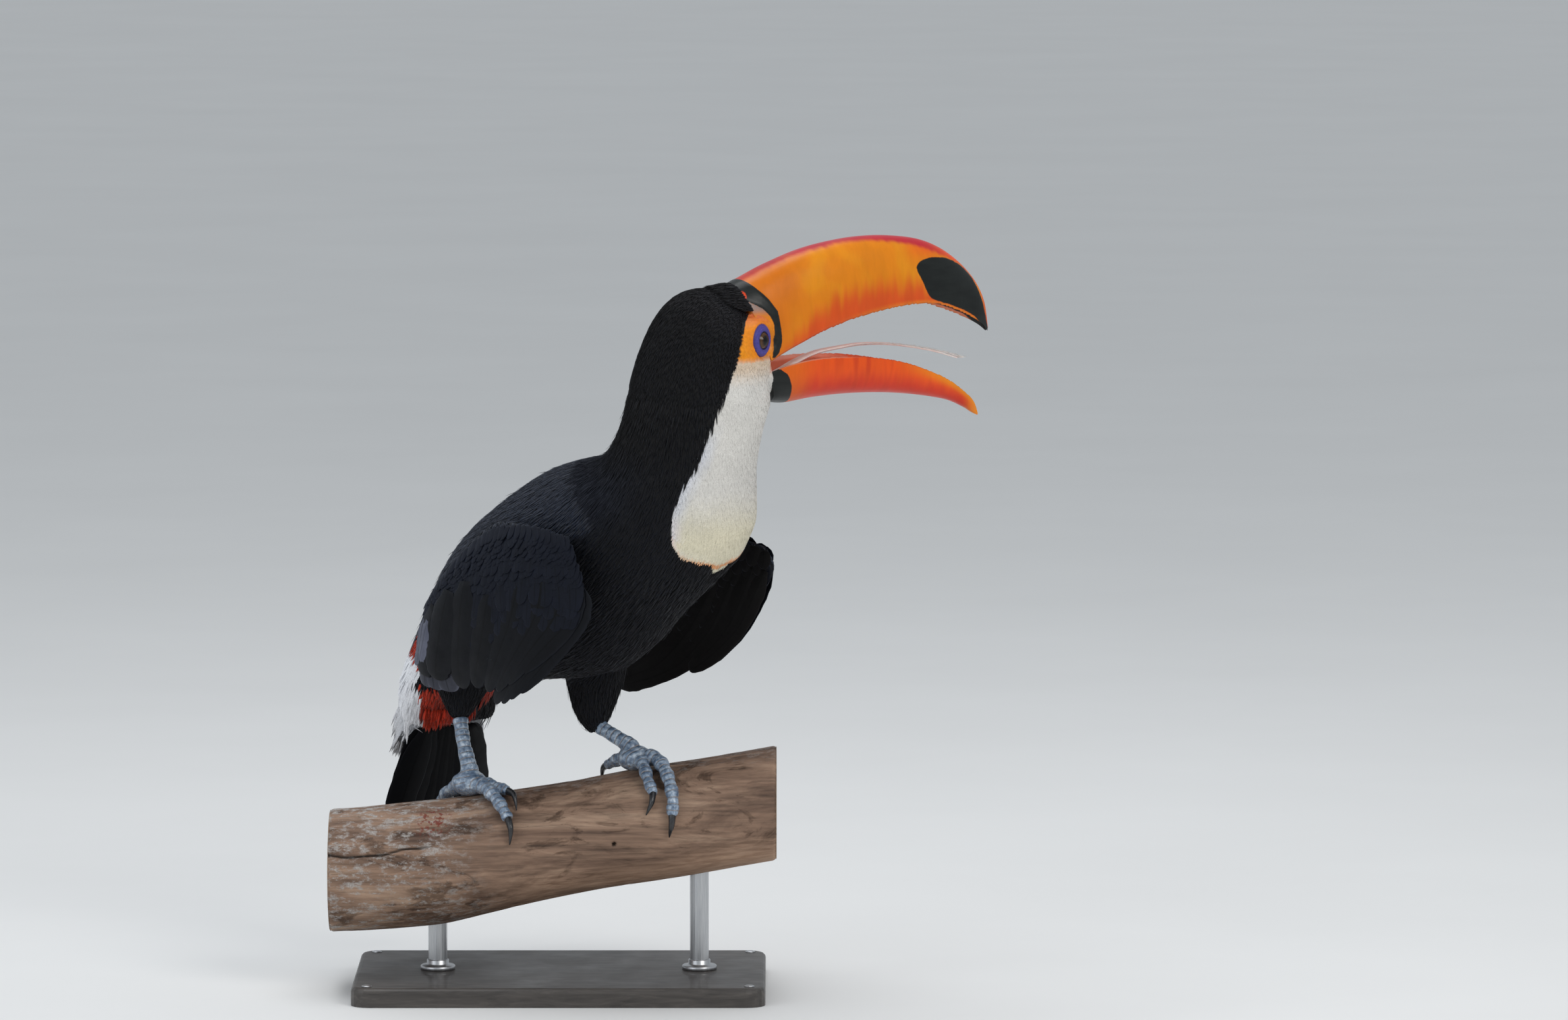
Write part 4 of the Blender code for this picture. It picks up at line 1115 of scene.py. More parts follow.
def eyeMaterial():
    paint = Paint("eyeball", 0.05, specular=0.32)
    out = paint.read("fromPupil")
    spokes = paint.node("CombineXYZ", {"X": paint.calc("MULTIPLY", paint.read("round"), 40.0),
                                       "Y": paint.calc("MULTIPLY", out, 1.2)}).outputs["Vector"]
    shift = paint.calc("MULTIPLY_ADD", paint.noise(1.0, 3.0, place=spokes), 0.05, -0.025)
    tone = paint.ramp(paint.calc("ADD", paint.calc("DIVIDE", out, 6.0), shift),
                      (0.46, (0.0015, 0.0015, 0.0015)), (0.51, (0.010, 0.006, 0.004)),
                      (0.62, (0.055, 0.026, 0.010)), (0.76, (0.100, 0.046, 0.016)),
                      (0.86, (0.026, 0.014, 0.009)), (0.93, (0.005, 0.004, 0.005)))
    return paint.finish(tone, None)


def makeEyes(skin, upperBill):
    mat, bareFace = eyeMaterial(), faceMaterial()
    for side, name in ((1.0, "right"), (-1.0, "left")):
        centre, axis, front, up = eyeFrame(side)
        bm = bmesh.new()
        bmesh.ops.create_uvsphere(bm, u_segments=64, v_segments=44, radius=1.0)
        local = np.array([v.co for v in bm.verts])
        angle = np.arccos(np.clip(local[:, 2], -1.0, 1.0))
        r = eye["radius"] + 0.9 * smoothStep(0.80, 0.0, angle)      # the cornea stands proud
        world = centre + (local @ np.array([front, up, axis])) * (r * mm)[:, None]
        for v, p in zip(bm.verts, world):
            v.co = p
        bmesh.ops.recalc_face_normals(bm, faces=bm.faces)
        ob = objectFrom("eyeball_" + name, bm, mat)
        setAttribute(ob, "fromPupil", eye["radius"] * np.sin(np.minimum(angle, math.pi / 2)))
        setAttribute(ob, "round", np.abs(np.arctan2(local[:, 1], local[:, 0])) / math.pi)
        settle(ob, "eye_glass", "eye_" + name)
        makeFacePatch(skin, upperBill, side, name, bareFace)
    print("head: eyes and bare face")


def faceMaterial():
    paint = Paint("bareFaceSkin", 0.46, specular=0.24, under=0.15, underRadius=(1.0, 0.35, 0.15),
                  underScale=0.0012)
    colour = paint.times(paint.read("markingsAndPaintedLight", "Color"), paint.tones(paint.noise(520.0, 6.0), 0.86, 1.10))
    return paint.finish(colour, paint.tones(paint.noise(900.0), 0.36, 0.54),
                        (paint.cells(1500.0), 0.22, 0.0003),
                        (paint.noise(700.0, 5.0, 0.6, 1.0), 0.30, 0.0006))


# a polar sheet over the face: the lid's edge, the violet ring with its folds, and the orange skin
def makeFacePatch(skin, upperBill, side, name, mat):
    centre, axis, front, up = eyeFrame(side)
    turns, steps, lidSteps = 168, 66, 34
    turn = np.linspace(0.0, 2 * math.pi, turns, endpoint=False)
    reach = follow(eye["reach"], np.degrees(turn))
    reach = np.convolve(np.tile(reach, 3), np.ones(9) / 9.0, "same")[turns:2 * turns]
    inner = np.linspace(eye["opening"], eye["ring"] + 0.9, lidSteps)
    outer = np.linspace(0.0, 1.0, steps - lidSteps + 1)[1:]
    radius = np.vstack([inner[:, None] + 0.0 * reach, inner[-1] + (reach - inner[-1]) * outer[:, None]])
    flat = np.sin(turn)[:, None] * front + np.cos(turn)[:, None] * up
    place = centre + flat[None] * (radius * mm)[..., None]
    bone = BVHTree.FromObject(upperBill, bpy.context.evaluated_depsgraph_get())
    height = np.full((steps, turns), np.nan)
    for i, j in np.ndindex(steps, turns):
        for tree in (skin.tree, bone):
            hit = tree.ray_cast(place[i, j] + axis * 0.03, -axis, 0.05)[3]
            if hit is not None:
                height[i, j] = np.nanmax([height[i, j], (0.03 - hit) / mm])
    height[~np.isfinite(height)] = np.nanmin(height)
    ground = height.copy()
    for _ in range(8):                        # a smooth sheet over the bone and the bill's root
        ground[1:-1] = 0.5 * ground[1:-1] + 0.25 * (ground[:-2] + ground[2:])
        ground = 0.5 * ground + 0.25 * (np.roll(ground, 1, 1) + np.roll(ground, -1, 1))
    tuck = smoothStep(0.80, 1.0, (radius - inner[-1]) / np.maximum(reach - inner[-1], 1.0))
    away = smoothStep(0.0, 1.0, (radius - eye["ring"]) / np.maximum(0.75 * (reach - eye["ring"]), 2.0))
    sheet = eye["plane"] * (1 - away) + (ground + 0.30) * away
    sheet = sheet * (1 - tuck) + (height - 0.45) * tuck
    way = (radius - eye["opening"]) / (eye["ring"] - eye["opening"])
    x = np.clip(way, 0.0, 1.0)
    rimHeight = math.sqrt(eye["radius"]**2 - eye["opening"]**2) + 0.20
    folds = 0.13 * np.sin(2 * math.pi * (3.4 * x + 0.35 * np.sin(turn * 2 + 1.0) + 0.2 * np.sin(turn * 5)))
    folds = folds * np.sin(math.pi * x) ** 0.7
    folds += 0.07 * np.sin(turn * 38 + 3.0 * np.sin(turn * 3) + 5.0 * x) * np.sin(math.pi * x)
    lid = rimHeight * (1 - x) + eye["plane"] * x + 0.95 * np.sin(math.pi * x ** 0.85) ** 0.9 + folds
    lid += 0.30 * np.exp(-((x - 0.05) / 0.05) ** 2)
    isLid = smoothStep(1.0, 0.93, way)
    z = lid * isLid + sheet * (1 - isLid)
    z -= 0.30 * np.exp(-((radius - eye["ring"]) / 0.42) ** 2)        # the crease round the ring
    points = place + axis * (z * mm)[..., None]
    rim = points[:1] - axis * 0.0011 - flat[None] * 0.0002            # turns in under the lid
    points = np.concatenate([rim, points, points[-1:] - axis * 0.0014])
    ob = objectFrom("face_skin_" + name, gridShape(points, caps=False), mat)
    p = pointsOf(ob.data)
    n = len(p)
    colour = markingsAndPaintedLight(p, np.zeros(n, int), np.full(n, 15.0), np.full(n, math.pi / 2))[0]
    away = p - centre
    r = np.linalg.norm(away - (away @ axis)[:, None] * axis, axis=1) / mm
    violet, dark = np.array(eye["violet"]), np.array(eye["violetDark"])
    x = np.clip((r - eye["opening"]) / (eye["ring"] - eye["opening"]), 0.0, 1.0)
    # the violet lid is painted lighter over its raised middle, as painted light, and darker in the crease
    # round the ring, as painted shade; darker too at its inner edge
    lidTone = lerp(violet * (0.85 + 0.35 * np.sin(math.pi * x))[:, None], dark, smoothStep(0.12, 0.0, x))
    lidTone = lerp(lidTone, dark, 0.5 * smoothStep(0.86, 1.0, x))
    setAttribute(ob, "markingsAndPaintedLight", lerp(colour, lidTone, smoothStep(eye["ring"] + 0.15, eye["ring"] - 0.25, r)))
    settle(ob, "orange_bill")


# the crown's front edge: short feathers rooted along the bill's rear rim, lying back over the crown
def growBrow(skin, mat):
    f, side, h = [x[0, :bill["outside"]] for x in billRings(bill["upper"], True)[:3]]
    t, n = np.linspace(0.0, len(f) - 1.0, 1500), 4200
    rim = np.stack([np.interp(t, np.arange(len(f)), x) for x in (f, side, h)], -1)
    rim = rim[rim[:, 2] > 435.0]
    rim = rim[rng.integers(0, len(rim), n)] + 0.25 * rng.normal(size=(n, 3))
    start = fromHead(rim[:, 0] + 1.2, rim[:, 1] * 1.008, rim[:, 2] + 0.15)
    back = unit(fromHead(-1.0, 0.0, 0.0) - fromHead(0.0, 0.0, 0.0))
    found = [skin.tree.find_nearest(p + back * 0.0135)[:2] for p in start]
    land, out = [np.array(x, float) for x in zip(*found)]
    land = land + out * 0.0006
    s = rng.random((n, 1)) ** 1.3
    taper = smoothStep(434.0, 441.0, rim[:, 2])
    places = start + (land - start) * s * (0.45 + 0.35 * taper[:, None])
    downs = unit(land - start)
    sizes = (6.5 + 1.5 * s[:, 0]) * (0.42 + 0.58 * taper)
    hangLocks("coat_brow", places, downs, across(out, downs), sizes, 0.46, mat, "black_feather",
              marks["crown"], mapUnder(skin, land), 0.05)


# flight feathers, coverts and tail

# blue is black with a painted blue sheen
vane = {"shaftRidge": 0.22, "edgeThick": 0.10, "shaftThick": 0.34,
        "blue": (0.0062, 0.0078, 0.0140), "dark": (0.0042, 0.0048, 0.0068), "brown": (0.0048, 0.0042, 0.0042),
        "grey": (0.115, 0.122, 0.165), "tail": (0.0050, 0.0054, 0.0068)}


# turns the face of a wing over: depth in mm behind it, for its inner side
def underFace(wing, depth):
    def place(u, v):
        p, slopeU, slopeV, out = wingFace(wing, u, v)
        thin = depth * (1.0 - 0.75 * smoothStep(1.0, 5.5, u)) * mm
        return [p - out * thin[..., None], slopeU, slopeV, -out]
    return place


def overFace(wing):
    return lambda u, v: wingFace(wing, u, v)


# closed thin shells laid along a face: from start to end (u, v), half widths, heights over it, all in mm
def growVanes(name, face, start, end, half, low, high, mat, slot, tone, edgeTone=1.25, bow=0.0,
              stations=15, across=9, roundFrom=0.62, arch=0.9, patch=None, ragged=0.03, thick=1.0):
    n = len(start)
    start, end = np.asarray(start, float), np.asarray(end, float)
    half, low, high, bow, roundFrom, arch = [np.broadcast_to(np.asarray(x, float), (n,))[:, None]
                                             for x in (half, low, high, bow, roundFrom, arch)]
    s = 1.0 - (1.0 - np.linspace(0.0, 1.0, stations)) ** 1.35
    s[-1] = 0.9985
    u = start[:, :1] + (end - start)[:, :1] * s
    v = start[:, 1:] + (end - start)[:, 1:] * s + bow * np.sin(math.pi * s)
    p, slopeU, slopeV, out = face(u, v)
    ahead = unit(np.gradient(p, axis=1))
    side = unit(np.cross(out, ahead))
    wide = 0.42 + 0.58 * smoothStep(0.0, 0.22, s)
    blunt = np.clip((s - roundFrom) / (1.0 - roundFrom), 0.0, 1.0)
    wide = wide * np.sqrt(np.maximum(1.0 - blunt ** 2.3, 0.0)) * half * mm
    wide = wide * (1.0 + ragged * rng.normal(size=wide.shape))
    c = np.sin(np.linspace(-math.pi / 2, math.pi / 2, across))
    offset = wide[..., None] * c                                   # n, stations, across
    uu = (slopeU * slopeU).sum(-1)
    vv = (slopeV * slopeV).sum(-1)
    uv = (slopeU * slopeV).sum(-1)
    bu, bv = (slopeU * side).sum(-1), (slopeV * side).sum(-1)
    det = np.maximum(uu * vv - uv * uv, 1e-12)
    du, dv = (bu * vv - bv * uv) / det, (bv * uu - bu * uv) / det
    q, _, _, outAt = face(u[..., None] + du[..., None] * offset, v[..., None] + dv[..., None] * offset)
    rise = low + (high - low) * s                                  # n, stations
    rise = rise[..., None] + arch[..., None] * (1.0 - c ** 2) * (wide / mm / half)[..., None]
    thin, full = vane["edgeThick"], vane["shaftThick"]
    thickness = thick * (thin + (full - thin) * (1 - np.abs(c)) ** 1.5)
    thickness = thickness * np.maximum((wide / mm / half)[..., None], 0.15)
    ridge = vane["shaftRidge"] * (np.abs(c) < 0.12) * (1 - s)[:, None] ** 0.5
    top = q + outAt * ((rise + ridge) * mm)[..., None]
    bottom = q + outAt * ((rise - thickness) * mm)[..., None]
    verts = np.concatenate([top, bottom[:, :, -2:0:-1]], 2)        # one closed ring at each station
    ring = verts.shape[2]
    verts = verts.reshape(n, stations * ring, 3)
    faces = [tuple(range(ring))]
    for k in range(stations - 1):
        a = k * ring
        faces += [(a + j, a + ring + j, a + ring + (j + 1) % ring, a + (j + 1) % ring) for j in range(ring)]
    last = (stations - 1) * ring
    faces += [tuple(last + j for j in reversed(range(ring)))]
    cc = np.concatenate([c, c[-2:0:-1]])
    x = np.broadcast_to(0.5 + 0.5 * cc, (n, stations, ring))
    y = np.broadcast_to(s[:, None], (n, stations, ring))
    length = np.linalg.norm(np.diff(p, axis=1), axis=-1).sum(-1) / mm
    vaneMap = np.stack([x, y * (length / 10.0)[:, None, None]], -1).reshape(n, stations * ring, 2)
    if patch is None:                          # an atlas with a cell for each feather
        cells = math.ceil(math.sqrt(n))
        cell = np.stack([np.arange(n) % cells, np.arange(n) // cells], -1)[:, None]
        patch = (cell + 0.06 + 0.88 * np.stack([x, y], -1).reshape(n, -1, 2)) / cells
    else:
        spread = np.stack([(x - 0.5) * 0.003, (y - 0.5) * 0.003], -1).reshape(n, -1, 2)
        patch = np.clip(patch[:, None] + spread, 0.0, 1.0)
    tone = np.broadcast_to(np.asarray(tone, float), (n, 3)) * (0.90 + 0.20 * rng.random((n, 1)))
    # each feather is painted darker towards its covered root, as painted shade; its edges are paler, partly
    # its own pale fringe and partly painted highlight
    light = 0.80 + 0.20 * y + (edgeTone - 1.0) * np.abs(2 * x - 1) ** 6
    colour = tone[:, None] * light.reshape(n, -1)[..., None]
    return manyOf(name, verts, faces, mat, slot, colour, patch, vaneMap)


# webs of barbs running out and forward from a darker shaft
def vaneMaterial(name, rough, sheen, tint):
    paint = Paint(name, rough, specular=0.11, sheen=sheen, sheenRough=0.4, sheenTint=(*tint, 1.0))
    web = paint.node("UVMap", uv_map="vane").outputs["UV"]
    split = paint.node("SeparateXYZ", {"Vector": web})
    off = paint.calc("ABSOLUTE", paint.calc("SUBTRACT", split.outputs["X"], 0.5))
    along = paint.calc("SUBTRACT", split.outputs["Y"], paint.calc("MULTIPLY", off, 1.6))
    barbs = paint.calc("SINE", paint.calc("MULTIPLY", along, 95.0))
    patchy = paint.tones(paint.noise(130.0, 5.0, 0.6), 0.82, 1.16)
    barbTone = paint.ramp(paint.calc("MULTIPLY_ADD", barbs, 0.5, 0.5), (0.0, 0.86), (1.0, 1.10))
    shaft = paint.ramp(off, (0.012, 0.50), (0.040, 1.0))
    return paint.finish(paint.times(paint.read("plumeAndPaintedLight", "Color"), patchy, barbTone, shaft),
                        paint.tones(paint.noise(90.0), rough - 0.05, rough + 0.08),
                        (barbs, 0.16, 0.0002), (paint.noise(500.0), 0.15, 0.0004))


# places of the skin's map nearest to points of a face, so coverts share the skin's own unwrap
def mapUnder(skin, points):
    return np.array([skin.uv[skin.tree.find_nearest(p)[2]].mean(0) for p in points])


# staggered rows of short overlapping coverts over part of a face
def growCoverts(name, skin, face, rows, cols, gap, length, half, low, high, mat, tone):
    start, end = [], []
    for k, u in enumerate(np.arange(rows[0], rows[1], gap[0])):
        for v in np.arange(cols[0] + 0.5 * gap[1] * (k % 2), cols[1], gap[1]):
            at = (u + 0.12 * gap[0] * rng.normal(), v + 0.10 * gap[1] * rng.normal())
            start.append(at)
            end.append((at[0] + length * (0.9 + 0.2 * rng.random()), at[1] + 0.05 * rng.normal()))
    start, end = np.array(start), np.array(end)
    p = face(start[:, 0], start[:, 1])[0]
    return growVanes(name, face, start, end, half, low, high, mat, "black_feather", tone, 1.18,
                     stations=8, across=7, roundFrom=0.45, arch=0.45, patch=mapUnder(skin, p), ragged=0.05)


def dressWings(skin):
    flight = vaneMaterial("flightFeather", 0.50, 0.02, (0.5, 0.65, 1.0))
    covert = vaneMaterial("covertFeather", 0.56, 0.04, (0.40, 0.55, 1.0))
    near, far = overFace(nearWing), overFace(farWing)

    # rows of start and end, half width and height over the face
    def lay(name, rows, rise, tone, edgeTone, **shape):
        rows = np.array(rows)
        growVanes("near_" + name, near, rows[:, :2], rows[:, 2:4], rows[:, 4], rows[:, 5], rows[:, 5] + rise,
                  flight, "black_feather", tone, edgeTone, **shape)

    # near wing: a filling row under, then the long feathers seen along its lower edge
    v = np.linspace(0.15, 4.2, 14)
    growVanes("near_under", near, np.stack([0 * v + 1.5, v], -1),
              np.stack([3.36 - 0.85 * smoothStep(2.5, 3.2, v), v + 0.15], -1), 10.0, -1.6, -1.0, flight,
              "black_feather", vane["dark"])
    lay("primaries", [(1.50, 0.12, 3.96, 0.92, 8.5, -1.0), (1.50, 0.34, 4.03, 1.30, 8.5, -0.7),
                      (1.60, 0.58, 4.08, 1.62, 8.5, -0.4), (1.70, 0.90, 4.04, 1.92, 9.0, -0.1),
                      (1.45, 0.22, 3.52, 1.05, 9.0, 0.3), (1.50, 0.55, 3.66, 1.45, 9.5, 0.5),
                      (1.60, 0.95, 3.74, 1.82, 10.5, 0.7), (1.70, 1.45, 3.72, 2.14, 11.5, 0.9),
                      (1.80, 2.05, 3.62, 2.50, 13.0, 1.1)], 0.6, vane["dark"], 2.3,
        bow=(-0.40, -0.42, -0.40, -0.32, -0.34, -0.30, -0.24, -0.14, -0.05), stations=24, roundFrom=0.58)
    lay("grey", [(1.00, 4.55, 2.75, 4.95, 8.0, 0.4), (1.10, 4.25, 2.70, 4.70, 8.5, 1.0),
                 (1.30, 4.00, 2.60, 4.45, 8.0, 1.5)], 0.5, vane["grey"], 1.6, stations=18, ragged=0.06)
    lay("pale", [(2.20, 4.20, 3.94, 4.42, 13.0, -0.6), (2.20, 3.80, 3.99, 3.95, 14.0, -0.3),
                 (2.20, 3.35, 4.02, 3.40, 14.0, 0.0)], 0.4, (0.040, 0.042, 0.056), 3.4,
        stations=20, roundFrom=0.40)
    lay("tertials", [(1.05, 3.72, 3.26, 4.46, 13.5, 0.9), (1.20, 2.62, 3.70, 2.86, 13.5, 1.3),
                     (1.10, 3.12, 3.44, 3.66, 14.5, 1.6)], 0.6, vane["dark"], 1.5,
        bow=0.05, stations=22, roundFrom=0.6)
    # rows and columns of the face, gaps between feathers, length, half width and heights
    for name, *where in (
            ("great_coverts", (1.35, 1.95), (0.15, 4.2), (0.28, 0.24), 0.85, 6.6, 0.2, 1.9),
            ("coverts", (0.92, 1.45), (0.08, 4.35), (0.13, 0.17), 0.50, 5.2, -0.9, 1.4),
            ("small_coverts", (0.34, 0.98), (0.08, 4.45), (0.09, 0.12), 0.34, 3.7, -1.3, 0.9)):
        growCoverts("near_" + name, skin, near, *where, covert, vane["blue"])

    # far wing, both sides: its inner side shows from the front
    v = np.append(np.linspace(0.10, 2.30, 12), [2.52, 2.72])
    tips = np.append(6.05 - 0.75 * smoothStep(2.3, 0.0, v[:12]), [4.02, 4.24])
    ends = np.append(np.linspace(0.25, 2.86, 12), [2.80, 2.92])
    half = np.append(np.full(12, 9.5), [8.5, 7.5])
    level = np.append(-0.5 + 0.10 * np.arange(12), [0.9, 1.1])
    for name, face, long, short in (("inner", far, "brown", "brown"),
                                    ("outer", underFace(farWing, 5.5), "dark", "blue")):
        growVanes("far_flight_" + name, face, np.stack([1.2 + 0 * v, v], -1), np.stack([tips, ends], -1),
                  half, level, level + 0.6, flight, "black_feather", vane[long], 2.3,
                  stations=24, roundFrom=0.66)
        growCoverts("far_coverts_" + name, skin, face, (0.5, 2.9), (0.15, 2.68), (0.20, 0.18), 0.75, 5.6,
                    -0.2, 1.5, covert, vane[short])
    print("wings: flight feathers and coverts")


tail = {"rows": [(-73.3, 72.4, 158.6, 35), (-76, 79, 140, 40), (-80, 88, 114, 44), (-85, 97, 86, 46),
                 (-89, 104, 62, 45), (-91, 107, 50, 37)], "yaw": -54.0}


# the tail's middle sheet: u runs down its length, v from -1 to 1 across it
def tailFace(u, v):
    yaw = math.radians(tail["yaw"])
    left = np.array((-math.sin(yaw), math.cos(yaw), 0.0))
    front = np.array((math.cos(yaw), math.sin(yaw), 0.0))
    u, v = np.broadcast_arrays(np.asarray(u, float), np.asarray(v, float))

    def place(uu, vv):
        rows = [r[:3] + (min(r[3], 44.5),) for r in tail["rows"]]
        row = spline(rows, np.clip(uu, 0.0, 5.0))
        over = np.maximum(uu - 5.0, 0.0)[..., None] * np.array((-2.0, 3.0, -12.0))
        half = row[..., 3] * vv
        return (row[..., :3] + over + left * half[..., None] + front * (-4.0 * vv * vv)[..., None]) * mm

    p = place(u, v)
    slopeU = (place(u + 0.05, v) - place(u - 0.05, v)) / 0.1
    slopeV = (place(u, v + 0.05) - place(u, v - 0.05)) / 0.1
    out = unit(np.cross(slopeU, slopeV))
    out *= np.where((out * front).sum(-1, keepdims=True) < 0, -1.0, 1.0)
    return [p, slopeU, slopeV, out]


def dressTail():
    mat = vaneMaterial("tailFeather", 0.48, 0.02, (0.5, 0.65, 1.0))
    # middle pair on top at the back, each next pair a little shorter and lower
    v = np.array([-0.86, -0.66, -0.46, -0.25, -0.07, 0.07, 0.25, 0.46, 0.66, 0.86])
    level = -2.6 + 4.6 * np.abs(v)
    feathers = growVanes("tail_feathers", tailFace, np.stack([0.05 + 0 * v, v * 0.55], -1),
                         np.stack([4.97 - 0.30 * v ** 2, v], -1), 10.5, level, level + 0.3, mat,
                         "black_feather", vane["tail"], 1.6, stations=26, across=11, roundFrom=0.86,
                         arch=0.8, thick=1.6)
    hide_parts("tail")
    # a second layer closes the gaps near the root
    v = np.linspace(-0.75, 0.75, 9)
    growVanes("tail_fillers", tailFace, np.stack([0.0 * v, v * 0.7], -1),
              np.stack([3.1 - 0.8 * v * v, v * 0.96], -1), 9.0, -0.6, 0.0, mat, "black_feather", vane["tail"],
              1.4, stations=16, roundFrom=0.7)
    print("tail: feathers")


# loose locks hanging free from points over the skin
def hangLocks(name, places, downs, outs, length, half, mat, slot, tone, patch, drift):
    n = len(places)
    length = length * mm * (0.75 + 0.5 * rng.random(n))
    half = half * mm * (0.7 + 0.6 * rng.random(n))
    d = unit(downs + drift * rng.normal(size=(n, 3)))
    bend = drift * rng.normal(size=(n, 3))
    rings = []
    for s, w in ((0.0, 0.5), (0.3, 1.0), (0.65, 0.75), (1.0, 0.0)):
        centre = places + (d * s + bend * s * s * 0.6 + outs * 0.10 * math.sin(2.2 * s)) * length[:, None]
        side = unit(np.cross(outs, d)) * (half * w)[:, None]
        crest = outs * (0.42 * half * w)[:, None]
        rings.append(np.stack([centre - side, centre + crest, centre + side] if w else [centre], 1))
    tone = np.broadcast_to(tone, (n, 3)) * (0.85 + 0.3 * rng.random((n, 1)))
    manyOf(name, np.concatenate(rings, 1), spindle(3), mat, slot, np.repeat(tone[:, None], 10, 1),
           patchAt(patch))


def dressRump(skin, white, red):
    # white ones hang over the tail's root
    count = 3600
    v, u = rng.uniform(-0.90, 0.86, count), rng.uniform(-0.9, 0.25, count)
    p, slopeU, _, out = tailFace(np.maximum(u, 0.0), v)
    p = p + np.array((0.0, 0.0, -0.020)) * np.minimum(u, 0.0)[:, None] - out * 0.0030
    short = 1.0 - 0.35 * smoothStep(-0.75, -0.45, v) - 0.20 * smoothStep(0.3, 0.8, v)
    hangLocks("locks_uppertail", p, unit(slopeU), -out, 17.0 * short, 1.2, white, "white_feather",
              marks["snow"], mapUnder(skin, p), 0.045)
    # red ones lie over the body's end on its lower side
    count = 1900
    v, u = rng.uniform(-1.0, 1.0, count), rng.uniform(0.0, 1.0, count)
    t, a = 0.15 + u * 1.1, math.pi + v * 1.45
    p, forward = bodySurface(t, a)
    lowest = follow([(-80, 166), (-58, 168), (-36, 190)], p[:, 0] / mm)
    fits = (p[:, 0] > -0.088) & (p[:, 2] / mm > lowest)
    t, a, v, p, forward = t[fits], a[fits], v[fits], p[fits], forward[fits]
    out = unit(p - bodySurface(t, a + math.pi)[0])
    p = p - out * 0.0012
    size = 9.0 * (0.65 + 0.5 * np.abs(np.sin(5.0 * v)) * rng.random(len(v)))
    hangLocks("locks_undertail", p, unit(-forward + np.array((0.0, 0.0, -0.25))), out, size, 1.1, red,
              "black_feather", marks["vent"], mapUnder(skin, p), 0.09)
    print("tail: loose locks over its root")


# the cut length of branch and the feet on it

branch = {"rows": [(-146, 75.3, 38.9), (-121, 76.8, 39.3), (-96, 79.0, 39.7), (-72, 81.6, 39.6),
                   (-45, 86.6, 38.2), (-21, 91.1, 36.9), (0, 95.0, 36.2), (26, 99.9, 36.0),
                   (46, 103.4, 36.4), (67, 106.7, 36.6), (88, 110.0, 36.4), (112, 114.2, 36.3),
                   (137, 118.6, 36.3)],
          "along": 250, "around": 220, "crack": (-146.0, -78.0, 69.0, 2.2), "hole": (34.6, 97.0, 1.3)}


feet = {
    "right": {"shank": [(-64, 17.2, 170, 5.0), (-61.5, 10, 155, 4.6), (-58, 3, 141, 5.6), (-57, 1, 135, 6.2)],
              "pad": (-57.5, 0.5, 131.0),
              "toes": [[(-57, -2, 7.5, 5.2), (-49, 10, 6.4, 5.0), (-39, 34, 4.6, 4.3), (-33, 52, 4.0, 3.7)],
                       [(-55, -2, 7.5, 4.8), (-47, 5, 6.6, 4.4), (-40, 13, 5.4, 3.9), (-34, 20, 4.6, 3.5)],
                       [(-58, -4, 7.5, 5.2), (-68, -16, 5.6, 4.8), (-75, -34, 4.6, 4.2),
                        (-77, -54, 4.0, 3.7)],
                       [(-57, -6, 7.0, 4.8), (-60, -20, 5.2, 4.2), (-60, -38, 4.2, 3.6)]],
              "claws": [[(-32.5, 53.5, 4.2, 2.9), (-30.5, 64, 5.0, 2.3), (-30.5, 72, 3.4, 1.3),
                         (-31, 78, 1.2, 0.5)],
                        [(-33, 21.5, 4.7, 2.7), (-29, 30, 5.6, 2.1), (-27.5, 38, 3.6, 1.2),
                         (-27, 44, 1.2, 0.5)],
                        [(-77.3, -55.5, 4.2, 2.8), (-77.5, -65, 4.8, 2.2), (-77, -73, 3.2, 1.3),
                         (-76.5, -79, 1.2, 0.5)],
                        [(-60, -39.5, 4.4, 2.6), (-59.5, -48, 4.8, 2.0), (-59, -55, 3.2, 1.2),
                         (-58.5, -60, 1.2, 0.5)]]},
    "left": {"shank": [(25, 14, 165, 5.0), (34, 7.5, 160.2, 4.7), (43, 2.5, 155, 5.6), (46.5, 0.5, 151, 6.2)],
             "pad": (47.5, 0.0, 147.0),
             "toes": [[(48, 0, 8.0, 5.6), (60, 12, 6.6, 5.1), (67, 33, 4.8, 4.4), (71.5, 60, 4.4, 4.1),
                       (71.5, 75, 4.0, 3.7)],
                      [(47, 0, 7.5, 4.8), (52, 16, 6.0, 4.4), (56, 40, 4.4, 3.8), (59, 53, 3.9, 3.4)],
                      [(45, -2, 8.0, 4.8), (37, -10, 7.6, 4.2), (31, -17, 6.6, 3.8)],
                      [(48, -6, 7.5, 5.2), (52, -22, 5.4, 4.6), (53, -42, 4.5, 4.1), (53, -60, 4.0, 3.7)]],
             "claws": [[(71.4, 76.5, 4.2, 3.0), (71, 86, 4.6, 2.3), (70, 93, 3.0, 1.3), (69.5, 98, 1.2, 0.5)],
                       [(59.1, 54.5, 4.1, 2.7), (58.5, 63, 4.6, 2.1), (56.5, 69, 3.2, 1.2),
                        (55, 73, 1.2, 0.5)],
                       [(30.2, -18, 6.6, 2.9), (27, -25, 6.4, 2.2), (26, -33, 4.2, 1.3), (26, -40, 1.4, 0.5)],
                       [(53, -61.5, 4.2, 2.8), (52.5, -71, 4.8, 2.2), (52, -79, 3.2, 1.3),
                        (51.5, -85, 1.2, 0.5)]]}}


# the branch's middle height and its radius at x, in mm
def branchAt(x):
    return [follow([(row[0], row[k]) for row in branch["rows"]], x) for k in (1, 2)]


# world path of rows given as x, angle towards the front, height over the bark and radius
def overBranch(rows, count):
    x, angle, over, radius = spline(rows, np.linspace(0.0, len(rows) - 1.0, count)).T
    z, r = branchAt(x)
    r, a = r + over, np.radians(angle)
    return np.stack([x, -r * np.sin(a), z + r * np.cos(a), radius], -1) * mm


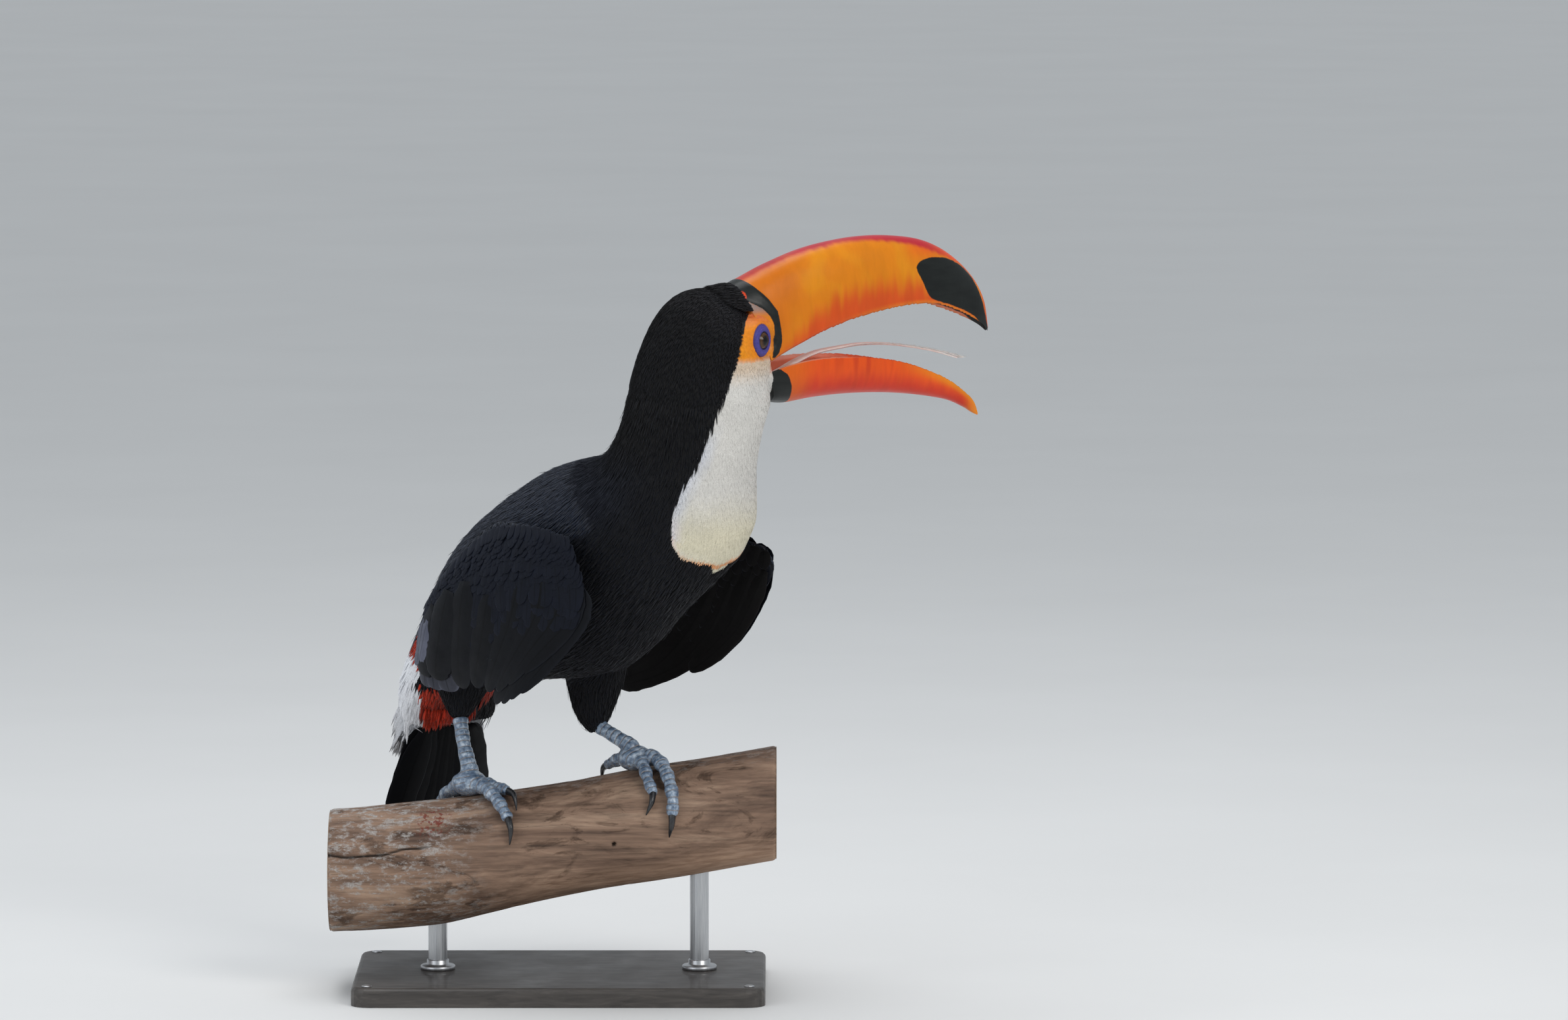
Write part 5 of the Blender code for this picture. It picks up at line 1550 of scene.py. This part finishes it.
# carries a path on past its end to a rounded nose
def rounded(path):
    ahead, r = unit(path[-1, :3] - path[-2, :3]), path[-1, 3]
    nose = [np.append(path[-1, :3] + ahead * r * f, r * w)
            for f, w in ((0.35, 0.94), (0.65, 0.76), (0.85, 0.50), (0.95, 0.20))]
    return np.vstack([path, nose])


def legMaterial():
    paint = Paint("legScales", 0.32, coat=0.60, coatRough=0.16)
    wobble = paint.calc("MULTIPLY_ADD", paint.noise(330.0, 3.0), 1.2, -0.6)
    row = paint.calc("FRACT", paint.calc("MULTIPLY", paint.calc("ADD", paint.read("along"), wobble), 0.25))
    groove = paint.ramp(row, (0.0, 0.0), (0.10, 0.55), (0.22, 1.0), (0.86, 0.94), (1.0, 0.0))
    beads = paint.ramp(paint.cells(620.0, feature="DISTANCE_TO_EDGE"), (0.0, 0.0), (0.16, 1.0))
    relief = paint.mix(paint.ramp(paint.read("upper"), (0.35, 0.0), (0.55, 1.0)), beads, groove)
    mottle = paint.noise(260.0, 5.0, 0.6)
    # the scales' own blotchy blue-grey, its palest tones a painted highlight
    blue = paint.ramp(mottle, (0.30, (0.044, 0.072, 0.120)), (0.46, (0.135, 0.195, 0.285)),
                      (0.58, (0.290, 0.370, 0.470)), (0.72, (0.60, 0.66, 0.73)))
    joint = paint.tones(paint.noise(500.0), (0.085, 0.072, 0.068), (0.40, 0.35, 0.32))
    colour = paint.mix(paint.ramp(relief, (0.10, 1.0), (0.62, 0.0)), blue, joint)
    return paint.finish(colour, paint.tones(mottle, 0.34, 0.52), (relief, 0.55, 0.0005),
                        (paint.noise(1500.0), 0.2, 0.0003))


def clawMaterial():
    paint = Paint("clawHorn", 0.30, coat=0.3)
    tone = paint.tones(paint.noise(700.0, 5.0), (0.006, 0.006, 0.007), (0.026, 0.026, 0.029))
    return paint.finish(tone, paint.tones(paint.noise(900.0), 0.24, 0.42),
                        (paint.noise(1800.0, place=paint.stretch(1.0, 1.0, 0.3)), 0.25, 0.0003))


def makeFoot(side, mat, clawMat):
    data = feet[side]
    shank = spline(data["shank"], np.linspace(0.0, 3.0, 40)) * mm
    paths = [rounded(shank)] + [rounded(overBranch(rows, 44)) for rows in data["toes"]]
    parts, samples = [], []
    for k, path in enumerate(paths):
        steps = np.linalg.norm(np.diff(path[:, :3], axis=0), axis=1)
        along = np.append(0.0, np.cumsum(steps)) / mm

        def knuckles(i, spokes):
            swell = 0.97 + (0.11 if k else 0.04) * math.cos(2 * math.pi * along[i] / 12.0)
            return swell * np.where(spokes[:, 2] < -0.3, 0.97, 1.0)

        parts.append(gridShape(tubeRings(path, 28, knuckles)))
        ahead = unit(np.gradient(path[:, :3], axis=0))
        samples.append(np.hstack([path[:, :3], along[:, None] + 7.0 * k, ahead]))
    samples = np.vstack(samples)
    spots = KDTree(len(samples))
    for i, sample in enumerate(samples):
        spots.insert(sample[:3], i)
    spots.balance()
    pad = bmesh.new()
    bmesh.ops.create_uvsphere(pad, u_segments=40, v_segments=26, radius=1.0)
    for vert in pad.verts:
        vert.co = Vector([c * r + p * mm for c, r, p in zip(vert.co, (0.0115, 0.0105, 0.0082), data["pad"])])
    ob = oneSurface("foot_scaled_" + side, parts + [pad], 0.00052, 5, mat)
    points, normals = pointsOf(ob.data), normalsOf(ob.data)
    near = samples[[spots.find(p)[1] for p in points]]
    along = near[:, 3] + ((points - near[:, :3]) * near[:, 4:]).sum(-1) / mm
    x, y, h = points.T / mm
    z, r = branchAt(x)
    onShank = smoothStep(7.0, 12.0, np.hypot(y, h - z) - r - 8.0)
    upper = (normals * unit(np.stack([0.0 * x, y, h - z], -1))).sum(-1)
    front = normals @ unit(np.array((0.35, -0.9, 0.1)))
    upper = upper * (1 - onShank) + front * onShank
    # scales swell between the grooves over the upper side
    row = (along * 0.25) % 1.0
    groove = np.exp(-(np.minimum(row, 1.0 - row) / 0.09) ** 2)
    swell = 0.22 * (0.5 + 0.5 * np.sin(2 * math.pi * (row - 0.2))) - 0.30 * groove
    points = points + normals * (swell * smoothStep(-0.1, 0.3, upper) * mm)[:, None]
    # stays clear of the bark
    x, y, h = points.T / mm
    z, r = branchAt(x)
    push = np.maximum((r + 0.32) / np.hypot(y, h - z), 1.0)
    movePoints(ob.data, np.stack([x, y * push, z + (h - z) * push], -1) * mm)
    setAttribute(ob, "along", along)
    setAttribute(ob, "upper", 0.5 + 0.5 * upper)
    settle(ob, "leg_skin", "foot_" + side)
    for i, rows in enumerate(data["claws"]):
        path = overBranch(rows, 34)
        tip = unit(path[-1, :3] - path[-2, :3])
        path = np.vstack([path, np.append(path[-1, :3] + tip * 0.0004, 0.00018)])
        shape = gridShape(tubeRings(path, 22, lambda k, spokes: 1.0 - 0.16 * np.abs(spokes[:, 0])))
        name = "_%s_%d" % (side, i + 1)
        settle(objectFrom("claw_horn" + name, shape, clawMat), "claw_horn", "claw" + name)


def makeFeet():
    mat, clawMat = legMaterial(), clawMaterial()
    for side in ("right", "left"):
        makeFoot(side, mat, clawMat)
    print("feet: scales and claws")


def barkMaterial():
    paint = Paint("weatheredBranch", 0.72, specular=0.28)
    along = paint.stretch(0.16, 1.0, 1.0)
    broad = paint.noise(62.0, 6.0, 0.62, 0.8, along)
    strands = paint.noise(420.0, 5.0, 0.6, place=paint.stretch(0.05, 1.0, 1.0))
    tone = paint.ramp(broad, (0.28, (0.060, 0.036, 0.026)), (0.40, (0.158, 0.098, 0.069)),
                      (0.54, (0.275, 0.176, 0.122)), (0.70, (0.45, 0.310, 0.218)))
    tone = paint.times(tone, paint.ramp(strands, (0.28, 0.55), (0.50, 1.0), (0.75, 1.22)))
    stains = paint.noise(38.0, 6.0, 0.68, 1.6, paint.stretch(0.45, 1.0, 1.0))
    tone = paint.mix(paint.ramp(stains, (0.54, 0.0), (0.62, 0.80)), tone,
                     paint.times(tone, (0.30, 0.27, 0.25)))

    # lays a shade over the tone where the named part of the branch and a blotch meet
    def over(name, blotch, shade):
        return paint.mix(paint.calc("MULTIPLY", paint.read(name), blotch), tone, shade)

    tone = over("under", paint.ramp(paint.noise(24.0, place=along), (0.35, 0.4), (0.6, 1.0)),
                paint.tones(strands, (0.30, 0.175, 0.110), (0.52, 0.35, 0.245)))
    flecks = paint.noise(230.0, 6.0, 0.75, place=paint.stretch(0.5, 1.0, 1.0))
    tone = over("grey", paint.ramp(flecks, (0.50, 0.0), (0.60, 0.9)),
                paint.tones(paint.noise(900.0), (0.26, 0.235, 0.22), (0.50, 0.47, 0.44)))
    tone = over("rust", paint.ramp(paint.noise(420.0), (0.50, 0.0), (0.60, 0.85)), (0.17, 0.022, 0.012))
    bends = paint.calc("MULTIPLY", paint.noise(55.0, 3.0), 9.0)
    rings = paint.calc("SINE", paint.calc("MULTIPLY_ADD", paint.read("fromPith"), 2.6, bends))
    sawn = paint.ramp(paint.calc("MULTIPLY_ADD", rings, 0.5, 0.5), (0.0, (0.34, 0.215, 0.125)),
                      (1.0, (0.50, 0.355, 0.225)))
    sawn = paint.times(sawn, paint.tones(paint.noise(300.0, 5.0), 0.75, 1.1))
    # furrows, the crack and the hole are painted darker the deeper they sink: painted shade
    deep = paint.ramp(paint.read("deep"), (0.15, 1.0), (0.75, 0.18))
    return paint.finish(paint.times(paint.mix(paint.read("cutEnd"), tone, sawn), deep),
                        paint.tones(strands, 0.62, 0.82), (strands, 0.40, 0.0006), (broad, 0.30, 0.0015),
                        (paint.noise(1400.0, 3.0), 0.15, 0.0003))


def makeBranch():
    table = np.array(branch["rows"], float)
    x, z, r = spline(table, np.linspace(0.0, len(table) - 1.0, branch["along"])).T
    # sawn ends: the first and last stations close in on the pith
    inward = np.array([0.02, 0.15, 0.30, 0.45, 0.60, 0.74, 0.86, 0.94, 0.985])
    m, r = len(inward), np.concatenate([r[0] * inward, r, r[-1] * inward[::-1]])
    n, r = len(r), r[:, None]
    x, z = [np.pad(values, m, "edge")[:, None] for values in (x, z)]
    isBark = np.zeros((n, 1), bool)
    isBark[m:n - m] = True
    a = np.linspace(-math.pi, math.pi, branch["around"], endpoint=False)       # angle towards the front
    degrees = np.degrees(a)

    def waver(scale, seed, *place):
        place = np.stack(np.broadcast_arrays(*place), -1)
        return wavering(place.reshape(-1, 3), scale, seed).reshape(n, -1)

    coarse = waver(0.55, 4.0, x * 0.10, np.cos(a) * 5.2, np.sin(a) * 5.2)
    fine = waver(2.7, 8.0, x * 0.055, np.cos(a) * 5.2, np.sin(a) * 5.2)
    furrow = 0.45 * smoothStep(0.0, 0.8, -fine) + 0.5 * smoothStep(0.1, 0.9, -coarse)
    stop, at, width = branch["crack"][1:]
    path = at + 2.0 * np.sin(x * 0.09) + 0.7 * np.sin(x * 0.27)
    crack = np.exp(-((degrees - path) / (0.62 * width)) ** 2) * smoothStep(stop + 6.0, stop - 12.0, x)
    holeX, holeA, holeR = branch["hole"]
    gap = np.hypot(x - holeX, np.radians(degrees - holeA) * 36.0)
    depth = np.maximum.reduce([furrow, 2.3 * crack, 3.0 * smoothStep(holeR + 0.5, holeR - 0.6, gap)])
    edge = np.minimum(np.abs(x - table[0, 0]), np.abs(x - table[-1, 0]))
    worn = 0.9 * smoothStep(2.2, 0.0, edge)                     # edges of the cut a little worn
    radius = r - (depth + worn) * isBark
    saw = 0.12 * waver(1.0, 2.0, 0.0, r * np.cos(a) * 0.12, r * np.sin(a) * 0.5)
    sawn = x + np.where(isBark, 0.0, np.where(x < 0, 1.0, -1.0) * (0.15 + np.abs(saw)))
    points = np.stack([sawn, -radius * np.sin(a), z + radius * np.cos(a)], -1) * mm
    ob = objectFrom("branch_wood", gridShape(points), barkMaterial())
    p = pointsOf(ob.data)
    x, y, h = p.T / mm
    z, full = branchAt(x)
    out, turn, wander = np.hypot(y, h - z), np.degrees(np.arctan2(-y, h - z)), wavering(p, 30.0)
    isEnd = (np.minimum(x - table[0, 0], table[-1, 0] - x) < 0.6) & (out < full - 0.9)
    under = smoothStep(112.0, 140.0, np.abs(turn) + 14 * wander) * smoothStep(-80, 40, x + 40 * wander)
    grey = 0.9 * smoothStep(-30.0, -85.0, x + 25 * wander)
    grey += 0.55 * smoothStep(45.0, 12.0, np.abs(turn + 8) + 10 * wander)
    rust = smoothStep(17.0, 5.0, np.hypot(x + 80.0, (turn - 40.0) * 0.66))
    # how far below the full bark each point lies, for the painted shade in furrows, the crack and the hole
    deep = np.where(isEnd, 0.0, np.clip((full - out - 0.3) / 2.0, 0.0, 1.0))
    for name, values in (("cutEnd", isEnd * 1.0), ("fromPith", out), ("deep", deep), ("under", under),
                         ("grey", grey), ("rust", rust)):
        setAttribute(ob, name, values)
    settle(ob, "perch_wood", "perch")
    print("branch: bark, crack and sawn ends")


# the stand: where its rods and screws are, and turned profiles of radius and height, in mm

stand = {"rods": (-78.0, 88.0), "corners": [(x, y) for x in (-120.0, 120.0) for y in (-70.0, 70.0)],
         "collar": [(6.05, 12.05), (10.6, 12.05), (11.0, 12.4), (11.0, 14.4), (10.4, 15.0), (7.6, 15.2),
                    (7.0, 15.8), (7.0, 18.2), (6.6, 18.6), (6.05, 18.6)],
         "screw": [(0.15, 13.0), (1.2, 12.96), (2.4, 12.8), (3.1, 12.5), (3.4, 12.05)]}


def boardMaterial():
    paint = Paint("standBoard", 0.50, coat=0.12)
    grain = paint.noise(260.0, 6.0, 0.6, 1.0, paint.stretch(0.12, 1.0, 1.0))
    tone = paint.ramp(grain, (0.28, (0.030, 0.026, 0.023)), (0.55, (0.062, 0.054, 0.048)),
                      (0.8, (0.10, 0.088, 0.078)))
    return paint.finish(tone, paint.tones(paint.noise(35.0, 3.0), 0.42, 0.58), (grain, 0.25, 0.0004))


def steelMaterial():
    paint = Paint("brushedSteel", 0.34, metal=1.0)
    brushed = paint.noise(2400.0, place=paint.stretch(1.0, 1.0, 0.03))
    return paint.finish(paint.tones(brushed, (0.42, 0.43, 0.45), (0.60, 0.61, 0.62)),
                        paint.tones(brushed, 0.27, 0.43), (brushed, 0.10, 0.0002))


def turned(name, x, y, profile, count, caps, mat):
    turns = np.linspace(0.0, 2 * math.pi, count, endpoint=False)
    rings = [[(x + r * math.cos(w), y + r * math.sin(w), z) for w in turns] for r, z in profile]
    settle(objectFrom(name, gridShape(np.array(rings) * mm, caps=caps), mat), "stand_steel")


def makeStand():
    board, steel = boardMaterial(), steelMaterial()
    for name, mat in (("stand_base", board), ("stand_rod_left", steel), ("stand_rod_right", steel)):
        nodes[name].data.materials.clear()
        nodes[name].data.materials.append(mat)
    for x in stand["rods"]:                     # a collar round each rod where it meets the board
        turned("rod_collar_%d" % x, x, 0.0, stand["collar"], 64, False, steel)
    for x, y in stand["corners"]:               # domed screws hold the board's corners
        turned("board_screw_%d_%d" % (x, y), x, y, stand["screw"], 40, True, steel)
    print("stand: board, rods and collars")


skinObject = makeSkin(skinMaterial())
skin = readFaces(skinObject, finishSkin(skinObject))
print("skin:", len(skinObject.data.polygons), "faces")
upperBill = makeUpperBill()
makeLowerBill()
makeTongue()
makeEyes(skin, upperBill)
black, white, red = growCoat(skin)
growBrow(skin, black)
dressWings(skin)
dressTail()
dressRump(skin, white, red)
makeFeet()
makeBranch()
makeStand()
